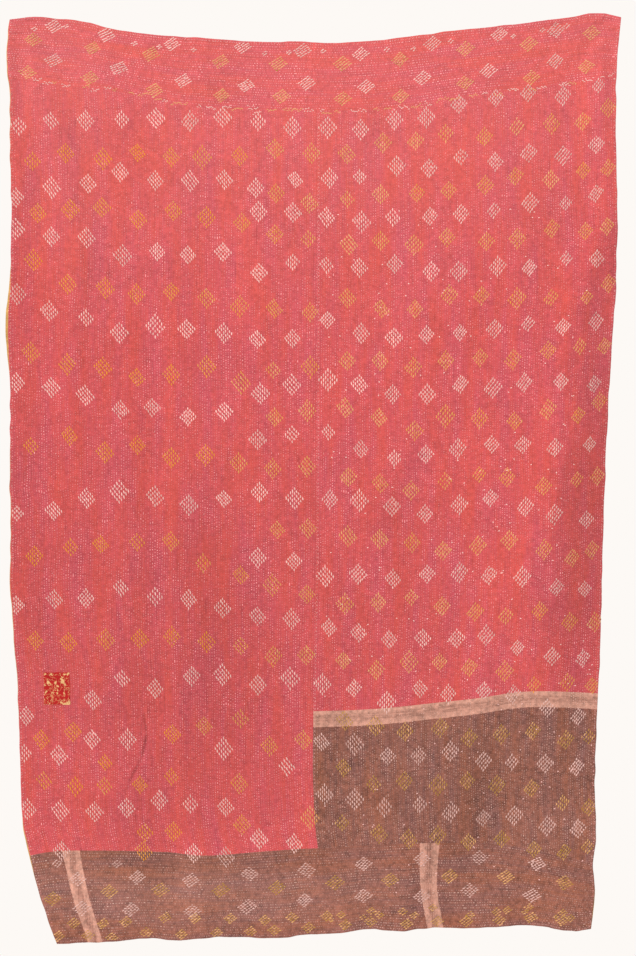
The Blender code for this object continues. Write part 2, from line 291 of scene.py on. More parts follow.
# The share of the left panel's motifs that were never sewn, below this z.
LEFT_OUT = 0.27
LEFT_OUT_BELOW = -1560
# What the patch covers, as (first x, last x, first z, last z).
PATCH_CLEAR = (-665, -535, -1545, -1425)
# By x: how far an upright motif leans and its size, how bright its white thread is, how warm its yellow.
LEAN = ((-700, -100, 150, 350, 700), (-0.9, -0.4, -0.2, 0.8, 1.2))
SQUEEZE = ((-700, 100, 420, 700), (0.93, 0.93, 0.88, 0.80))
BRIGHT = ((150, 450, 700), (0.80, 0.64, 0.60))
WARM = ((-700, -350, -150, 100, 400, 700), (0.92, 0.88, 0.66, 0.50, 0.64, 0.60))
# The shade of white and yellow thread on brown, of yellow thread in the red bands and in the sprays.
WHITE_ON_BROWN = 0.50
YELLOW_ON_BROWN = 0.10
YELLOW_ON_BAND = 0.36
YELLOW_SPRAY = 0.14
# The chance of a motif of four stitches a side, not five, and how much larger its steps are.
SMALL_MOTIF = 0.16
SMALL_MOTIF_SIZE = 1.12
# How much a leaning motif shears, upright and sideways, how many degrees its stitches slant, and how far
# the sideways motifs of the band and the strip lean.
UPRIGHT_SHEAR, SIDEWAYS_SHEAR, LEAN_DEGREES = 0.7, 0.3, 14
BAND_LEAN, STRIP_LEAN = 1.8, 0.8
# Chances of the upright motifs: the spreads of their size and lean, and of their shade in white, in yellow
# on brown and in yellow elsewhere.
SIZE_SPREAD, LEAN_SPREAD = 0.06, 0.2
WHITE_SPREAD, YELLOW_BROWN_SPREAD, YELLOW_SPREAD = 0.08, 0.05, 0.07
# Chances of the sideways motifs, as (mean, spread): how far a row and a motif shift along it, how much their
# share of the height differs, their size, and the spreads of their lean and of their yellow in the bands.
ROW_SHIFT, ROW_PLACE, ROW_SHARE, ROW_SIZE = (0, 5), (0, 7), (0, 0.02), (0.93, 0.04)
ROW_LEAN_SPREAD, ROW_YELLOW_SPREAD = 0.5, 0.04
# The ends of the rows across, where their two shares of the height hold.
ROW_ENDS = (-650, 650)
# Spreads of chance: of a panel's motifs down and across; of a motif's shear, step and slant in degrees; and
# of its stitches along and across it, in angle, length, width and shade.
ROW_SPREAD, COLUMN_SPREAD = 11, 3.5
SHEAR, STEP, SLANT_DEGREES = 0.35, 0.04, 4
ALONG, ACROSS, ANGLE, STITCH_LENGTH, STITCH_WIDTH, SHADE = 0.55, 0.28, 0.06, 0.09, 0.08, 0.10
# Sideways motifs, as (thread, stitches a side, share of the height at the left and at the right, first x,
# last x, step).
BAND_MOTIFS = (
    ("white", 5, 0.14, 0.13, -614, 640, 146), ("yellow", 5, 0.36, 0.30, -658, 660, 143),
    ("white", 5, 0.62, 0.66, -593, 640, 142), ("yellow", 5, 0.86, 0.80, -662, 660, 143),
    ("white", 2, 0.17, 0.15, -560, 640, 146), ("white", 2, 0.18, 0.15, -648, 640, 292),
)
STRIP_MOTIFS = (
    ("white", 3, 0.13, 0.13, -602, -340, 131), ("white", 5, 0.33, 0.14, -545, 600, 131),
    ("yellow", 5, 0.47, 0.36, -610, 610, 131), ("white", 5, 0.66, 0.57, -545, 600, 131),
)
# Sprays of small yellow motifs along the hem: the first x, the last, the step and the count, the chance
# of each smaller motif, and the motifs left and right of the middle, as (stitches a side, across, up).
SPRAYS_FROM, SPRAYS_TO, SPRAY_STEP, SPRAY_COUNT = -600.0, 640.0, 73.0, 17
SPRAY_CHANCE = 0.72
SPRAYS = (((4, 0, 15), (4, 35, 43)), ((4, 0, 17), (3, -6, 42), (3, 18, 31), (2, -20, 30)))
# Chances of the sprays, as (mean, spread): how far a spray and each of its motifs shift, how far up they
# lie and how they lean. Then their size.
SPRAYS_SHIFT, SPRAY_PLACE, SPRAY_UP, SPRAY_LEAN = (0, 5), (0, 4), (0, 3), (1.2, 0.5)
SPRAY_SIZE = 0.9
# Clusters of stitches along the band seam: the first x, the last and the step, the least stitches and one
# past the most, their step, length and width, the share of white ones, and the shade of each thread.
CLUSTERS = (-650, 680, 27.0)
CLUSTER_COUNT = (3, 9)
CLUSTER_STEP, CLUSTER_LENGTH, CLUSTER_WIDTH = 3.3, 4.6, 2.2
CLUSTER_WHITE = 0.55
CLUSTER_SHADE = {"white": 0.85, "yellow": 0.4}
# Chances as (mean, spread): how far a cluster shifts and lies above the seam, how far its stitches lie off
# its line, and the angle of its stitches and of the specks.
CLUSTER_SHIFT, CLUSTER_UP, CLUSTER_OFF, LOOSE_ANGLE = (0, 7), (1, 3), (0, 2.2), (0, 0.5)
# Single specks, as (count, range of x, range of z, range of lengths, width, shade on red, on brown).
SPECKS = (
    (230, (20, 640), (-1960, -380), (3.2, 4.2), 2.8, 1.0, 0.75),
    (60, (-640, 0), (-1960, -300), (2.4, 3.6), 1.5, 0.6, 0.6),
)
# Upright motifs that cross the strip seam below the left panel, as (thread, x).
CROSSING_MOTIFS = (("white", -582), ("yellow", -392), ("white", -287), ("white", -208))
# Where the outermost column of yellow motifs runs, as a share across the quilt.
EDGE_COLUMN = 1.97
# Chances of both, as (mean, spread): how far they shift, and how far up they lie.
CROSSING_SHIFT, CROSSING_UP = (0, 8), (2, 5)
EDGE_COLUMN_SHIFT, EDGE_COLUMN_UP = (0, 3), (4, 7)
# The tan bands across the bottom strip, as (z, middle, half width) at the seam, halfway and at the hem.
TAN_BANDS = (
    ((-1858, -563, 20.0), (-1962, -541, 18.5), (-2066, -508, 17.0)),
    ((-1845, 261, 22.0), (-1942, 259, 19.0), (-2040, 275, 18.5)),
)
# The tan border of the brown panel: its width, how softly it ends, and the share of its width at which its
# dusky middle lies.
BORDER_WIDTH = 36.0
BORDER_FRAY = 1.5
BORDER_MIDDLE = 0.47

# Places where the dye has kept or lost its depth, as (x, z, reach across, reach down, share). Some rows are
# painted light and shade rather than dye: the broad lift at the head is painted light, and the broad
# darkening towards the foot, the two darkenings along the right side where it turns back, and those along
# the trough of the brown panel are painted shade.
FADES_AND_PAINTED_LIGHT = (
    (-660, 0, 220, 160, 0.09), (660, 40, 130, 110, 0.06), (0, -20, 900, 420, 0.125),
    (-500, -360, 170, 280, 0.045), (-700, -950, 60, 480, -0.06), (-230, -1400, 110, 340, -0.06),
    (60, -800, 330, 500, 0.02), (-400, -1780, 60, 120, -0.05), (210, -1120, 90, 110, -0.05),
    (390, -660, 80, 130, -0.04), (-200, -1500, 620, 560, -0.15), (640, -1000, 60, 420, -0.12),
    (590, -1400, 70, 240, -0.18), (-440, -240, 60, 260, -0.05), (150, -1700, 110, 200, 0.06),
    (395, -1640, 34, 90, -0.09), (365, -1750, 34, 90, -0.1), (350, -1740, 150, 150, -0.06),
    (80, -1700, 60, 160, 0.04), (-260, -1960, 560, 90, 0.2), (262, -1945, 34, 130, -0.1),
)


class SmallStitches(NamedTuple):
    """Small stitches along a line: whether it runs down the quilt, the first place, the last and the step
    along it, the side that they lie on and how far in, their angle, length, width and shade, and the
    spreads of their places, distances in, angles and shades."""

    line: tuple
    down: bool
    places: tuple
    side: int
    inset: float
    angle: float
    length: float
    width: float
    shade: float
    spreads: tuple


SIDE_PLACES = (-2030.0, 40.0, 7.2)
END_PLACES = (-680.0, 690.0, 6.8)
SEAM_PLACES = (-1840.0, -165.0, 8.5)
SMALL_STITCHES = (
    SmallStitches(LEFT_EDGE, True, SIDE_PLACES, 1, 4.2, 0.3, 4.4, 1.2, 0.4, (2.0, 1.0, 0.3, 0.3)),
    SmallStitches(RIGHT_EDGE, True, SIDE_PLACES, -1, 4.2, -0.3, 4.4, 1.2, 0.4, (2.0, 1.0, 0.3, 0.3)),
    SmallStitches(TOP_EDGE, False, END_PLACES, -1, 4.2, 0.9, 3.6, 1.2, 0.45, (0.9, 0.5, 0.2, 0.25)),
    SmallStitches(HEM, False, END_PLACES, 1, 4.2, 0.9, 2.4, 0.7, 0.45, (0.9, 0.5, 0.2, 0.25)),
    SmallStitches(MIDDLE_SEAM, True, SEAM_PLACES, 1, 3.4, math.pi / 2, 4.0, 1.4, 0.45, (0, 0, 0.1, 0.3)),
)


class Cloth(NamedTuple):
    """One cloth: the node that it stands for, its material slot, the lines above and below it, its shares
    across the quilt, its samples across and down, which way its rows run, its rims at the left, right,
    top and bottom, and the size it was cut to, in metres."""

    node: str
    slot: str
    upper: tuple
    lower: tuple
    shares: tuple
    samples: tuple
    run: str
    rims: tuple
    flat: tuple


CLOTHS = {
    "red_panel_left": Cloth(
        "left_panel", "red_cotton", BAND_SEAM, STRIP_SEAM, (0, 1), (256, 300), "down",
        ("hem", "seam", "seam", "seam"), (0.70, 1.74),
    ),
    "red_panel_right": Cloth(
        "right_panel", "red_cotton", BAND_SEAM, BORDER_SEAM, (1, 2), (256, 246), "down",
        ("seam", "hem", "seam", "seam"), (0.69, 1.42),
    ),
    "brown_panel_sheet": Cloth(
        "brown_panel", "brown_cotton", BORDER_SEAM, STRIP_SEAM, (1, 2), (256, 76), "down",
        ("seam", "hem", "seam", "seam"), (0.65, 0.36),
    ),
    "red_band_left": Cloth(
        "top_band_left", "red_cotton", TOP_EDGE, BAND_SEAM, (0, 1), (160, 56), "across",
        ("hem", "seam", "hem", "seam"), (0.70, 0.17),
    ),
    "red_band_right": Cloth(
        "top_band_right", "red_cotton", TOP_EDGE, BAND_SEAM, (1, 2), (160, 56), "across",
        ("seam", "hem", "hem", "seam"), (0.70, 0.17),
    ),
    "brown_strip": Cloth(
        "bottom_strip", "brown_cotton", STRIP_SEAM, HEM, (0, 2), (290, 68), "across",
        ("hem", "hem", "seam", "hem"), (1.29, 0.21),
    ),
    "printed_mend": Cloth(
        "patch", "printed_patch", PATCH_TOP, BORDER_SEAM, (5 / SIDE_COLUMNS, 10 / SIDE_COLUMNS), (26, 30),
        "down", ("mend",) * 4, (0.062, 0.073),
    ),
    "ochre_back": Cloth(
        "lining", "ochre_lining", TOP_EDGE, HEM, (0, 2), (180, 260), "down", ("lining",) * 4, (1.41, 2.13),
    ),
}


def smooth_line(table, at):
    """The cubic curve through a table of (place, value) rows, whose slope at each row is that between
    the rows beside it. Past its ends the table keeps its end values."""
    place, value = np.array(sorted(table), float).T
    slope = np.gradient(value, place)
    at = np.clip(at, place[0], place[-1])
    row = np.clip(np.searchsorted(place, at) - 1, 0, len(place) - 2)
    run = place[row + 1] - place[row]
    t = (at - place[row]) / run
    rise = value[row + 1] - value[row]
    start, end = slope[row] * run, slope[row + 1] * run
    return value[row] + t * (start + t * (3 * rise - 2 * start - end + t * (start + end - 2 * rise)))


def smooth_step(t):
    """0 before t = 0, 1 after t = 1, and an S between them."""
    t = np.clip(t, 0, 1)
    return t * t * (3 - 2 * t)


def along(line, x, z, wander):
    """How far right of a line each point lies, and how much of it is left there: all of it midway, and
    none past its ends, in an S over each fade. wander moves the line sideways."""
    length = line.z_top - line.z_low
    down = line.z_top - z
    off = x - line.x_top - (line.x_low - line.x_top) * np.clip(down / length, 0, 1) - wander
    return off, smooth_step(down / line.top_fade) * smooth_step((length - down) / line.low_fade)


def hump(off, left_width, right_width):
    """A raised cosine: 1 on the line and 0 from the widths outwards."""
    reach = np.where(off < 0, left_width, right_width)
    return 0.5 + 0.5 * np.cos(np.pi * np.clip(off / reach, -1, 1))


def folded(lines, x, z, wander, shift):
    """How far back folds or creases set the cloth: the sum of their humps, each line with its own place
    in a wave that moves it sideways."""
    back = 0
    for place, line in enumerate(lines):
        way = wander * np.sin(2 * np.pi * z / WANDER_LENGTH + place * shift)
        off, share = along(line, x, z, way)
        back = back + line.depth * share * hump(off, line.left_width, line.right_width)
    return back


def drape(x, z):
    """y at (x, z): a shallow bow, which brings the sides forward of the middle, then the folds, the
    turned sides, the flutes that rise from the hem and the broad waves."""
    foot = np.clip(-z / LENGTH, 0, 1)
    bow = BOW_AT_HEAD + (BOW_AT_FOOT - BOW_AT_HEAD) * foot
    back = -bow * (x / HALF_WIDTH) ** 2 + folded(FOLDS, x, z, WANDER, WANDER_SHIFT)
    for turn in TURNS:
        off, share = along(turn, x, z, WANDER * np.sin(2 * np.pi * z / WANDER_LENGTH))
        past = np.maximum(off * turn.side, 0)
        bent = np.where(past < turn.bend, past**2 / (2 * turn.bend), past - turn.bend / 2)
        back = back + turn.slope * share * bent
    for flute_x, depth in HEM_FLUTES:
        share = smooth_step((FLUTE_TOP - z) / FLUTE_FADE)
        back = back + depth * share * hump(x - flute_x, FLUTE_WIDTH, FLUTE_WIDTH)
    for height, length, heading, start in WAVES:
        way = np.cos(np.radians(heading)) * x + np.sin(np.radians(heading)) * z
        back = back + height * np.sin(2 * np.pi * way / length + np.radians(start))
    return back


def cloud(u, v, seed):
    """Smooth noise about 0: seeded heights at whole (u, v), joined by S curves."""
    heights = np.random.default_rng(seed).uniform(-1, 1, (CLOUD_CELLS, CLOUD_CELLS))
    i, j = np.floor(u).astype(int), np.floor(v).astype(int)
    f, g = smooth_step(u - i), smooth_step(v - j)
    sides = []
    for step in (0, 1):
        first, second = (heights[(i + across) % CLOUD_CELLS, (j + step) % CLOUD_CELLS] for across in (0, 1))
        sides.append(first * (1 - f) + second * f)
    return sides[0] * (1 - g) + sides[1] * g


def clouds(sizes, x, z):
    """The sum of clouds given as (height, width, length, seed)."""
    return sum(height * cloud(x / width, z / length, seed) for height, width, length, seed in sizes)


def worked_face(x, z):
    """y of the worked face without its rows of quilting: the drape brought forward, with ripples of three
    sizes and the sharp creases."""
    return drape(x, z) - FACE_LIFT - clouds(RIPPLES, x, z) + folded(CREASES, x, z, 0, 0)


def lining_face(x, z):
    """y of the back of the quilt: the worked face pushed back by the cloth and the lining."""
    return worked_face(x, z) + FACE_LIFT + CLOTH_THICKNESS + GAP + LINING_THICKNESS


def unevenness(at, seed):
    """How far a hem wanders at a place along it: noise of one size."""
    return UNEVEN * cloud(at / UNEVEN_LENGTH, 0 * at, seed)


def across_at(share, z):
    """x at a share across the quilt at height z: 0 is the left edge, 1 the middle seam, 2 the right."""
    left = smooth_line(LEFT_EDGE, z) + unevenness(z, LEFT_SEED)
    middle = smooth_line(MIDDLE_SEAM, z)
    right = smooth_line(RIGHT_EDGE, z) + unevenness(z, RIGHT_SEED)
    return np.where(share < 1, left + (middle - left) * share, middle + (right - middle) * (share - 1))


def line_heights(table, share):
    """z of a line across the quilt at each share. The line is straight between the coarse columns."""
    coarse = np.arange(0, 2 * SIDE_COLUMNS + 1, COARSE_STEP) / SIDE_COLUMNS
    z = np.full(len(coarse), np.mean([height for _, height in table]))
    for _ in range(LINE_ROUNDS):
        z = smooth_line(table, across_at(coarse, z))
    z = np.interp(share, coarse, z)
    if table is TOP_EDGE or table is HEM:
        z = z + unevenness(share * HALF_WIDTH, HEM_SEED)
    return z


def grid_of(cloth):
    """x and z of a cloth's grid, with even steps between its two lines and its two shares."""
    columns, rows = cloth.samples
    share = np.linspace(*cloth.shares, columns + 1)
    upper, lower = line_heights(cloth.upper, share), line_heights(cloth.lower, share)
    z = upper + (lower - upper) * np.linspace(0, 1, rows + 1)[:, None]
    return across_at(share, z), z


def quilted(x, z, run, height):
    """y of the grid with its quilting: every second column (run "down") or row (run "across") stands
    forward by the height, more in some places than in others."""
    row, column = np.indices(x.shape)
    crest = (column if run == "down" else row) % 2
    puff = PUFF_LEAST + PUFF_SWING * cloud(x / PUFF_SIZE, z / PUFF_SIZE, PUFF_SEED)
    return worked_face(x, z) - height * (crest - 0.5) * puff


def dye_and_painted_shade(x, z):
    """How light the dye is, with painted light and shade, about 1: painted shade in the sharp creases, and a
    bump of each fade's share, in a bell of its reaches. Some fades are painted light and shade."""
    depth = np.ones(np.shape(x))
    for crease in CREASES:
        if crease.left_width < SHARP_CREASE:
            off, share = along(crease, x, z, 0)
            # Painted shade along each sharp crease.
            depth = depth - PAINTED_CREASE_SHADE * crease.depth * share * hump(off, CREASE_WIDTH, CREASE_WIDTH)
    # The fades, some of them painted light at the head and painted shade towards the foot, the right side and
    # the brown trough.
    for at_x, at_z, reach_x, reach_z, share in FADES_AND_PAINTED_LIGHT:
        depth = depth + share * np.exp(-(((x - at_x) / reach_x) ** 2) - ((z - at_z) / reach_z) ** 2)
    return depth


def rim_moves(first, last, count):
    """How far onwards and how far back each sample moves, in a line of count samples that has the rings
    of one rim before it and of another after it."""
    before, after = np.array(RIMS[first]), np.array(RIMS[last])
    return np.concatenate([before[::-1], np.zeros((count, 2)), after * (-1, 1)]).T


def rimmed(points, maps, sides):
    """The grid with rings added round it where it turns back: sides names the rim at the left, right, top
    and bottom. maps are further arrays on the grid, whose edge values the rings repeat. The first samples
    inside the left and the right rim come in by the bevel, and a corner goes back as far as either rim."""
    left, right, top, bottom = sides
    rows, columns = points.shape[:2]
    pad = ((len(RIMS[top]), len(RIMS[bottom])), (len(RIMS[left]), len(RIMS[right])))
    points = np.pad(points, pad + ((0, 0),), mode="edge")
    in_x, back_x = rim_moves(left, right, columns)
    in_z, back_z = rim_moves(top, bottom, rows)[:, :, None]
    in_x[len(RIMS[left])] = RIMS[left][0][0] + BEVEL
    in_x[-len(RIMS[right]) - 1] = -RIMS[right][0][0] - BEVEL
    points[..., 0] += in_x
    points[..., 2] -= in_z
    points[..., 1] += np.where(np.abs(back_x) > np.abs(back_z), back_x, back_z)
    return points, [np.pad(values, pad, mode="edge") for values in maps]


def grid_faces(rows, columns, flip):
    """The four-sided faces of a grid of points, seen from -Y, or from +Y if flipped."""
    at = np.arange(rows * columns).reshape(rows, columns)
    corners = [at[:-1, :-1], at[1:, :-1], at[1:, 1:], at[:-1, 1:]]
    return np.stack(corners[::-1] if flip else corners, -1).reshape(-1, 4)


def new_piece(name, points, faces, uv, marks, finish):
    """A mesh piece with smooth faces, its thread map, its marks and its material, riding on the quilt.
    points are in millimetres, and uv in metres."""
    mesh = bpy.data.meshes.new(name)
    mesh.vertices.add(len(points))
    mesh.vertices.foreach_set("co", (points * MM).astype(np.float32).ravel())
    mesh.loops.add(faces.size)
    mesh.loops.foreach_set("vertex_index", faces.astype(np.int32).ravel())
    mesh.polygons.add(len(faces))
    mesh.polygons.foreach_set("loop_start", np.arange(0, faces.size, 4, dtype=np.int32))
    mesh.update(calc_edges=True)
    mesh.shade_smooth()
    mesh.set_sharp_from_angle(angle=SHARP_ANGLE)
    layer = mesh.uv_layers.new(name="thread")
    layer.data.foreach_set("uv", uv[faces.ravel()].astype(np.float32).ravel())
    for mark, values in marks.items():
        made = mesh.attributes.new(mark, "FLOAT", "POINT")
        made.data.foreach_set("value", values.astype(np.float32).ravel())
    mesh.materials.append(finish)
    piece = bpy.data.objects.new(name, mesh)
    bpy.context.scene.collection.objects.link(piece)
    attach(piece, BODY)
    return piece


def sheet(name, x, y, z, across, down, marks, finish, flip=False):
    """A cloth of the table on its grid, with its rims, its thread map (across, down) and its marks."""
    cloth = CLOTHS[name]
    # The dye mark holds the cloth's fades and its painted light and shade.
    marks = {"dye_and_shade": dye_and_painted_shade(x, z)} | marks
    points, maps = rimmed(np.stack([x, y, z], -1), [across, down, *marks.values()], cloth.rims)
    uv = np.stack([maps[0].ravel(), maps[1].ravel()], -1)
    faces = grid_faces(*points.shape[:2], flip)
    marks = dict(zip(marks, maps[2:]))
    piece = new_piece(name, points.reshape(-1, 3), faces, uv, marks, finish)
    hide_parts(cloth.node)
    return {"FINISHED"}


def lay(name, finish, grid=None, lift=0.0, marks=()):
    """Lays one quilted cloth in front, on its own grid or another. Its thread map is (across the rows of
    quilting, along them) in metres, with a row of stitches at each whole pitch."""
    run, sizes = CLOTHS[name].run, bpy.context.scene.quilt_sizes
    x, z = grid or grid_of(CLOTHS[name])
    y = quilted(x, z, run, sizes.quilting_relief / MM) - lift
    row, column = np.indices(x.shape)
    across = (column if run == "down" else row) * sizes.quilting_pitch / 2
    return sheet(name, x, y, z, across, -z * MM if run == "down" else x * MM, dict(marks), finish)


# One raised stitch, in front (side -1) and behind (side 1): its stations as (along, width, height), and its
# section as (across, height).
STATIONS = {
    -1: ((-1.0, 0.6, 0.2), (0.0, 1.0, 1.0), (1.0, 0.6, 0.2)),
    1: ((-1.0, 0.8, 0.7), (1.0, 0.8, 0.7)),
}
SECTION = {
    -1: ((-1.0, 0.0), (-0.55, 1.0), (0.55, 1.0), (1.0, 0.0)),
    1: ((-1.0, 0.0), (-0.4, 1.0), (0.4, 1.0), (1.0, 0.0)),
}
# How deep a stitch is sunk in the cloth, and the length past which it belongs to a motif. The back of such
# a stitch has this share of its length.
STITCH_SINK = 0.25
LONG_STITCH = 5.8
GAP_SHARE = 0.6
# How much the thread takes of the dye's depth and of the painted light and shade, at the least and the most.
THREAD_DYE_AND_SHADE = (0.78, 1.0)
# How far to each side of a stitch the slope of the cloth is taken.
SLOPE_STEP = 1.5
# How far inside the ends and the sides of the quilt a stitch stays.
END_MARGIN = 3.0
SIDE_MARGIN = 2.0


def within_cloth(x, z):
    """Whether each (x, z) lies far enough inside the quilt's outline to carry a stitch."""
    wide = (x > smooth_line(LEFT_EDGE, z) + SIDE_MARGIN) & (x < smooth_line(RIGHT_EDGE, z) - SIDE_MARGIN)
    return wide & (z < smooth_line(TOP_EDGE, x) - END_MARGIN) & (z > smooth_line(HEM, x) + END_MARGIN)


def stitch_faces(stations, ring):
    """The faces of one stitch of this many stations and points a ring: its sides from station to station,
    then its two ends."""
    faces = []
    for station in range(stations - 1):
        for corner in range(ring):
            here, there = station * ring, (station + 1) * ring
            after = (corner + 1) % ring
            faces.append((here + corner, there + corner, there + after, here + after))
    last = (stations - 1) * ring
    return np.array(faces + [(0, 1, 2, 3), (last + 3, last + 2, last + 1, last)])


def unit(vectors):
    """The vectors at length 1."""
    return vectors / np.linalg.norm(vectors, axis=1, keepdims=True)


class Threads:
    """A list of stitches: where each lies, its angle, length, width and shade."""

    def __init__(self):
        self.rows = []

    def add(self, *values):
        """Adds stitches by x, z, angle, length, width and shade, each an array or one number for all."""
        self.rows.append(np.stack(np.broadcast_arrays(*map(np.atleast_1d, values)), -1))

    def sewn(self, name, side, finish, slot):
        """The stitches as one mesh, on the worked face (side -1) or on the back (side 1). A stitch is a
        short bar along its angle on the cloth, with its middle high and its ends drawn in. Behind, the
        thread shows where it dives in front: half a step along, and as long as the gap."""
        rows = np.concatenate(self.rows)
        x, z, angle, length, width, shade = rows[within_cloth(rows[:, 0], rows[:, 1])].T
        sizes = bpy.context.scene.quilt_sizes
        lie = worked_face if side < 0 else lining_face
        if side > 0:
            half = np.where(length > LONG_STITCH, sizes.motif_step / MM / 2, 0)
            x, z = x + half * np.cos(angle), z + half * np.sin(angle)
            length = np.where(length > LONG_STITCH, length * GAP_SHARE, length)
        slope_x = (lie(x + SLOPE_STEP, z) - lie(x - SLOPE_STEP, z)) / (2 * SLOPE_STEP)
        slope_z = (lie(x, z + SLOPE_STEP) - lie(x, z - SLOPE_STEP)) / (2 * SLOPE_STEP)
        climb = slope_x * np.cos(angle) + slope_z * np.sin(angle)
        run = unit(np.stack([np.cos(angle), climb, np.sin(angle)], -1))
        out = unit(side * np.stack([-slope_x, np.ones(len(x)), -slope_z], -1))
        wide = np.cross(out, run)
        at, narrow, high = np.array(STATIONS[side]).T
        across, rise = np.array(SECTION[side]).T
        on_run = length[:, None] / 2 * (at[:, None] * np.ones(len(across))).ravel()
        on_wide = width[:, None] / 2 * (narrow[:, None] * across).ravel()
        on_out = (high[:, None] * rise).ravel() * (sizes.stitch_height / MM) - STITCH_SINK
        points = np.stack([x, lie(x, z), z], -1)[:, None] + out[:, None] * on_out[:, None]
        points = points + run[:, None] * on_run[..., None] + wide[:, None] * on_wide[..., None]
        count = len(on_out)
        faces = stitch_faces(len(at), len(across))[None] + count * np.arange(len(x))[:, None, None]
        uv = np.stack([on_run, on_wide], -1).reshape(-1, 2) * MM
        # The threads take the cloth's fades and painted light and shade: lighter at the head, darker towards
        # the foot.
        dye_and_shade = np.clip(dye_and_painted_shade(x, z), *THREAD_DYE_AND_SHADE)
        marks = {"shade": np.repeat(shade, count), "dye_and_shade": np.repeat(dye_and_shade, count)}
        return new_piece(name, points.reshape(-1, 3), faces.reshape(-1, 4), uv, marks, finish)


def linear(rgb):
    """A colour given as sRGB from 0 to 1, as the shader takes it."""
    return tuple(c / 12.92 if c <= 0.04045 else ((c + 0.055) / 1.055) ** 2.4 for c in rgb) + (1.0,)


class Wire:
    """An output of a node. Sums written on wires become Math nodes."""

    def __init__(self, tree, socket):
        self.tree, self.socket = tree, socket

    def __add__(self, other):
        return sums("ADD", self, other)

    def __sub__(self, other):
        return sums("SUBTRACT", self, other)

    def __rsub__(self, other):
        return sums("SUBTRACT", other, self)

    def __mul__(self, other):
        return sums("MULTIPLY", self, other)

    def __truediv__(self, other):
        return sums("DIVIDE", self, other)

    def __rtruediv__(self, other):
        return sums("DIVIDE", other, self)

    def __abs__(self):
        return sums("ABSOLUTE", self)


def node_in(tree, kind, inputs=(), **settings):
    """A node with its settings. Its inputs are given as (name or place, value or wire)."""
    node = tree.nodes.new(kind)
    for key, value in settings.items():
        setattr(node, key, value)
    for key, value in inputs:
        if isinstance(value, Wire):
            tree.links.new(value.socket, node.inputs[key])
        else:
            node.inputs[key].default_value = value
    return node


def put(tree, kind, inputs=(), output=0, **settings):
    """The wire from one output of a new node."""
    return Wire(tree, node_in(tree, kind, inputs, **settings).outputs[output])


def sums(operation, *values):
    """The wire from a Math node of this operation on the values."""
    tree = next(value.tree for value in values if isinstance(value, Wire))
    return put(tree, "ShaderNodeMath", enumerate(values), operation=operation)


def ramped(value, low, high):
    """value carried from low..high to 0..1 in an S, and kept there."""
    inputs = [("Value", value), ("From Min", low), ("From Max", high)]
    return put(value.tree, "ShaderNodeMapRange", inputs, interpolation_type="SMOOTHSTEP")


def mixed(share, first, second):
    """Two colours mixed by a share. A colour is a wire or a linear value."""
    return put(share.tree, "ShaderNodeMix", [(0, share), (6, first), (7, second)], 2, data_type="RGBA")


def dimmed(colour, level):
    """A colour times a level."""
    inputs = [(0, colour), ("Scale", level)]
    return put(colour.tree, "ShaderNodeVectorMath", inputs, operation="SCALE")


def noise(vector, scale, detail, stretch=(1, 1, 1), shift=(0, 0, 0)):
    """Noise read at a vector that is first stretched and shifted."""
    inputs = [("Vector", vector), ("Scale", stretch), ("Location", shift)]
    moved = put(vector.tree, "ShaderNodeMapping", inputs)
    inputs = [("Vector", moved), ("Scale", scale), ("Detail", detail), ("Roughness", NOISE_ROUGHNESS)]
    return put(vector.tree, "ShaderNodeTexNoise", inputs, "Fac")


def split(vector):
    """The first and the second part of a vector."""
    outputs = node_in(vector.tree, "ShaderNodeSeparateXYZ", [(0, vector)]).outputs
    return Wire(vector.tree, outputs[0]), Wire(vector.tree, outputs[1])


def joined(first, second):
    """A vector of two numbers."""
    return put(first.tree, "ShaderNodeCombineXYZ", [(0, first), (1, second)])


def mark(tree, name):
    """The wire of a number kept on the piece's points."""
    return put(tree, "ShaderNodeAttribute", output="Fac", attribute_name=name)


def running_stitch(thread, pitch, length, width):
    """Rows of running stitch on the thread map. A row runs at each whole pitch. Its dashes come one to a
    stitch length, shifted by a chance of their own row, and each dash shows by its own chance. The puff
    between two rows rises from each as a power of the distance."""
    across, down = split(thread)
    row = across / pitch
    whole = sums("ROUND", row)
    off = abs(row - whole) * pitch
    slip = put(thread.tree, "ShaderNodeTexWhiteNoise", [("W", whole)], "Value", noise_dimensions="1D")
    place = down / length + slip * 7.0 + noise(thread, 60, 1) * 3.0
    dash = 1.0 - ramped(abs(sums("FRACT", place) - 0.5), 0.12, 0.24)
    own = [("Vector", joined(whole, sums("FLOOR", place)))]
    own = put(thread.tree, "ShaderNodeTexWhiteNoise", own, "Value", noise_dimensions="2D")
    line = 1.0 - ramped(off, width * 0.5, width * 0.9)
    return dash * (own * 1.1 + 0.35) * line, sums("POWER", off * 2.0 / pitch, 0.6)


def plain_weave(thread, pitch):
    """Plain weave on the thread map: a checker of raised threads at the weave's pitch, as the product of
    two sines, with slubs along each thread."""
    across, down = split(thread)
    turn = 2 * math.pi / pitch
    height = sums("SINE", across * turn) * sums("SINE", down * turn) * 0.5 + 0.5
    return height, noise(thread, 1, 2, (1100, 60, 1))


def streaked_dye(thread, first, second, dark, dark_share):
    """Two shades of one dye in streaks along the threads, with thin dark threads."""
    broad = noise(thread, 1, 3, (24, 4.2, 1), (3.7, 1.3, 0))
    fine = noise(thread, 1, 2, (150, 9, 1), (8.1, 4.9, 0))
    share = ramped(broad * 0.7 + fine * 0.3, 0.30, 0.70)
    lines = ramped(noise(thread, 1, 1, (420, 9, 1), (1.9, 7.7, 0)), 0.60, 0.76)
    return mixed(lines * dark_share, mixed(share, first, second), dark), share


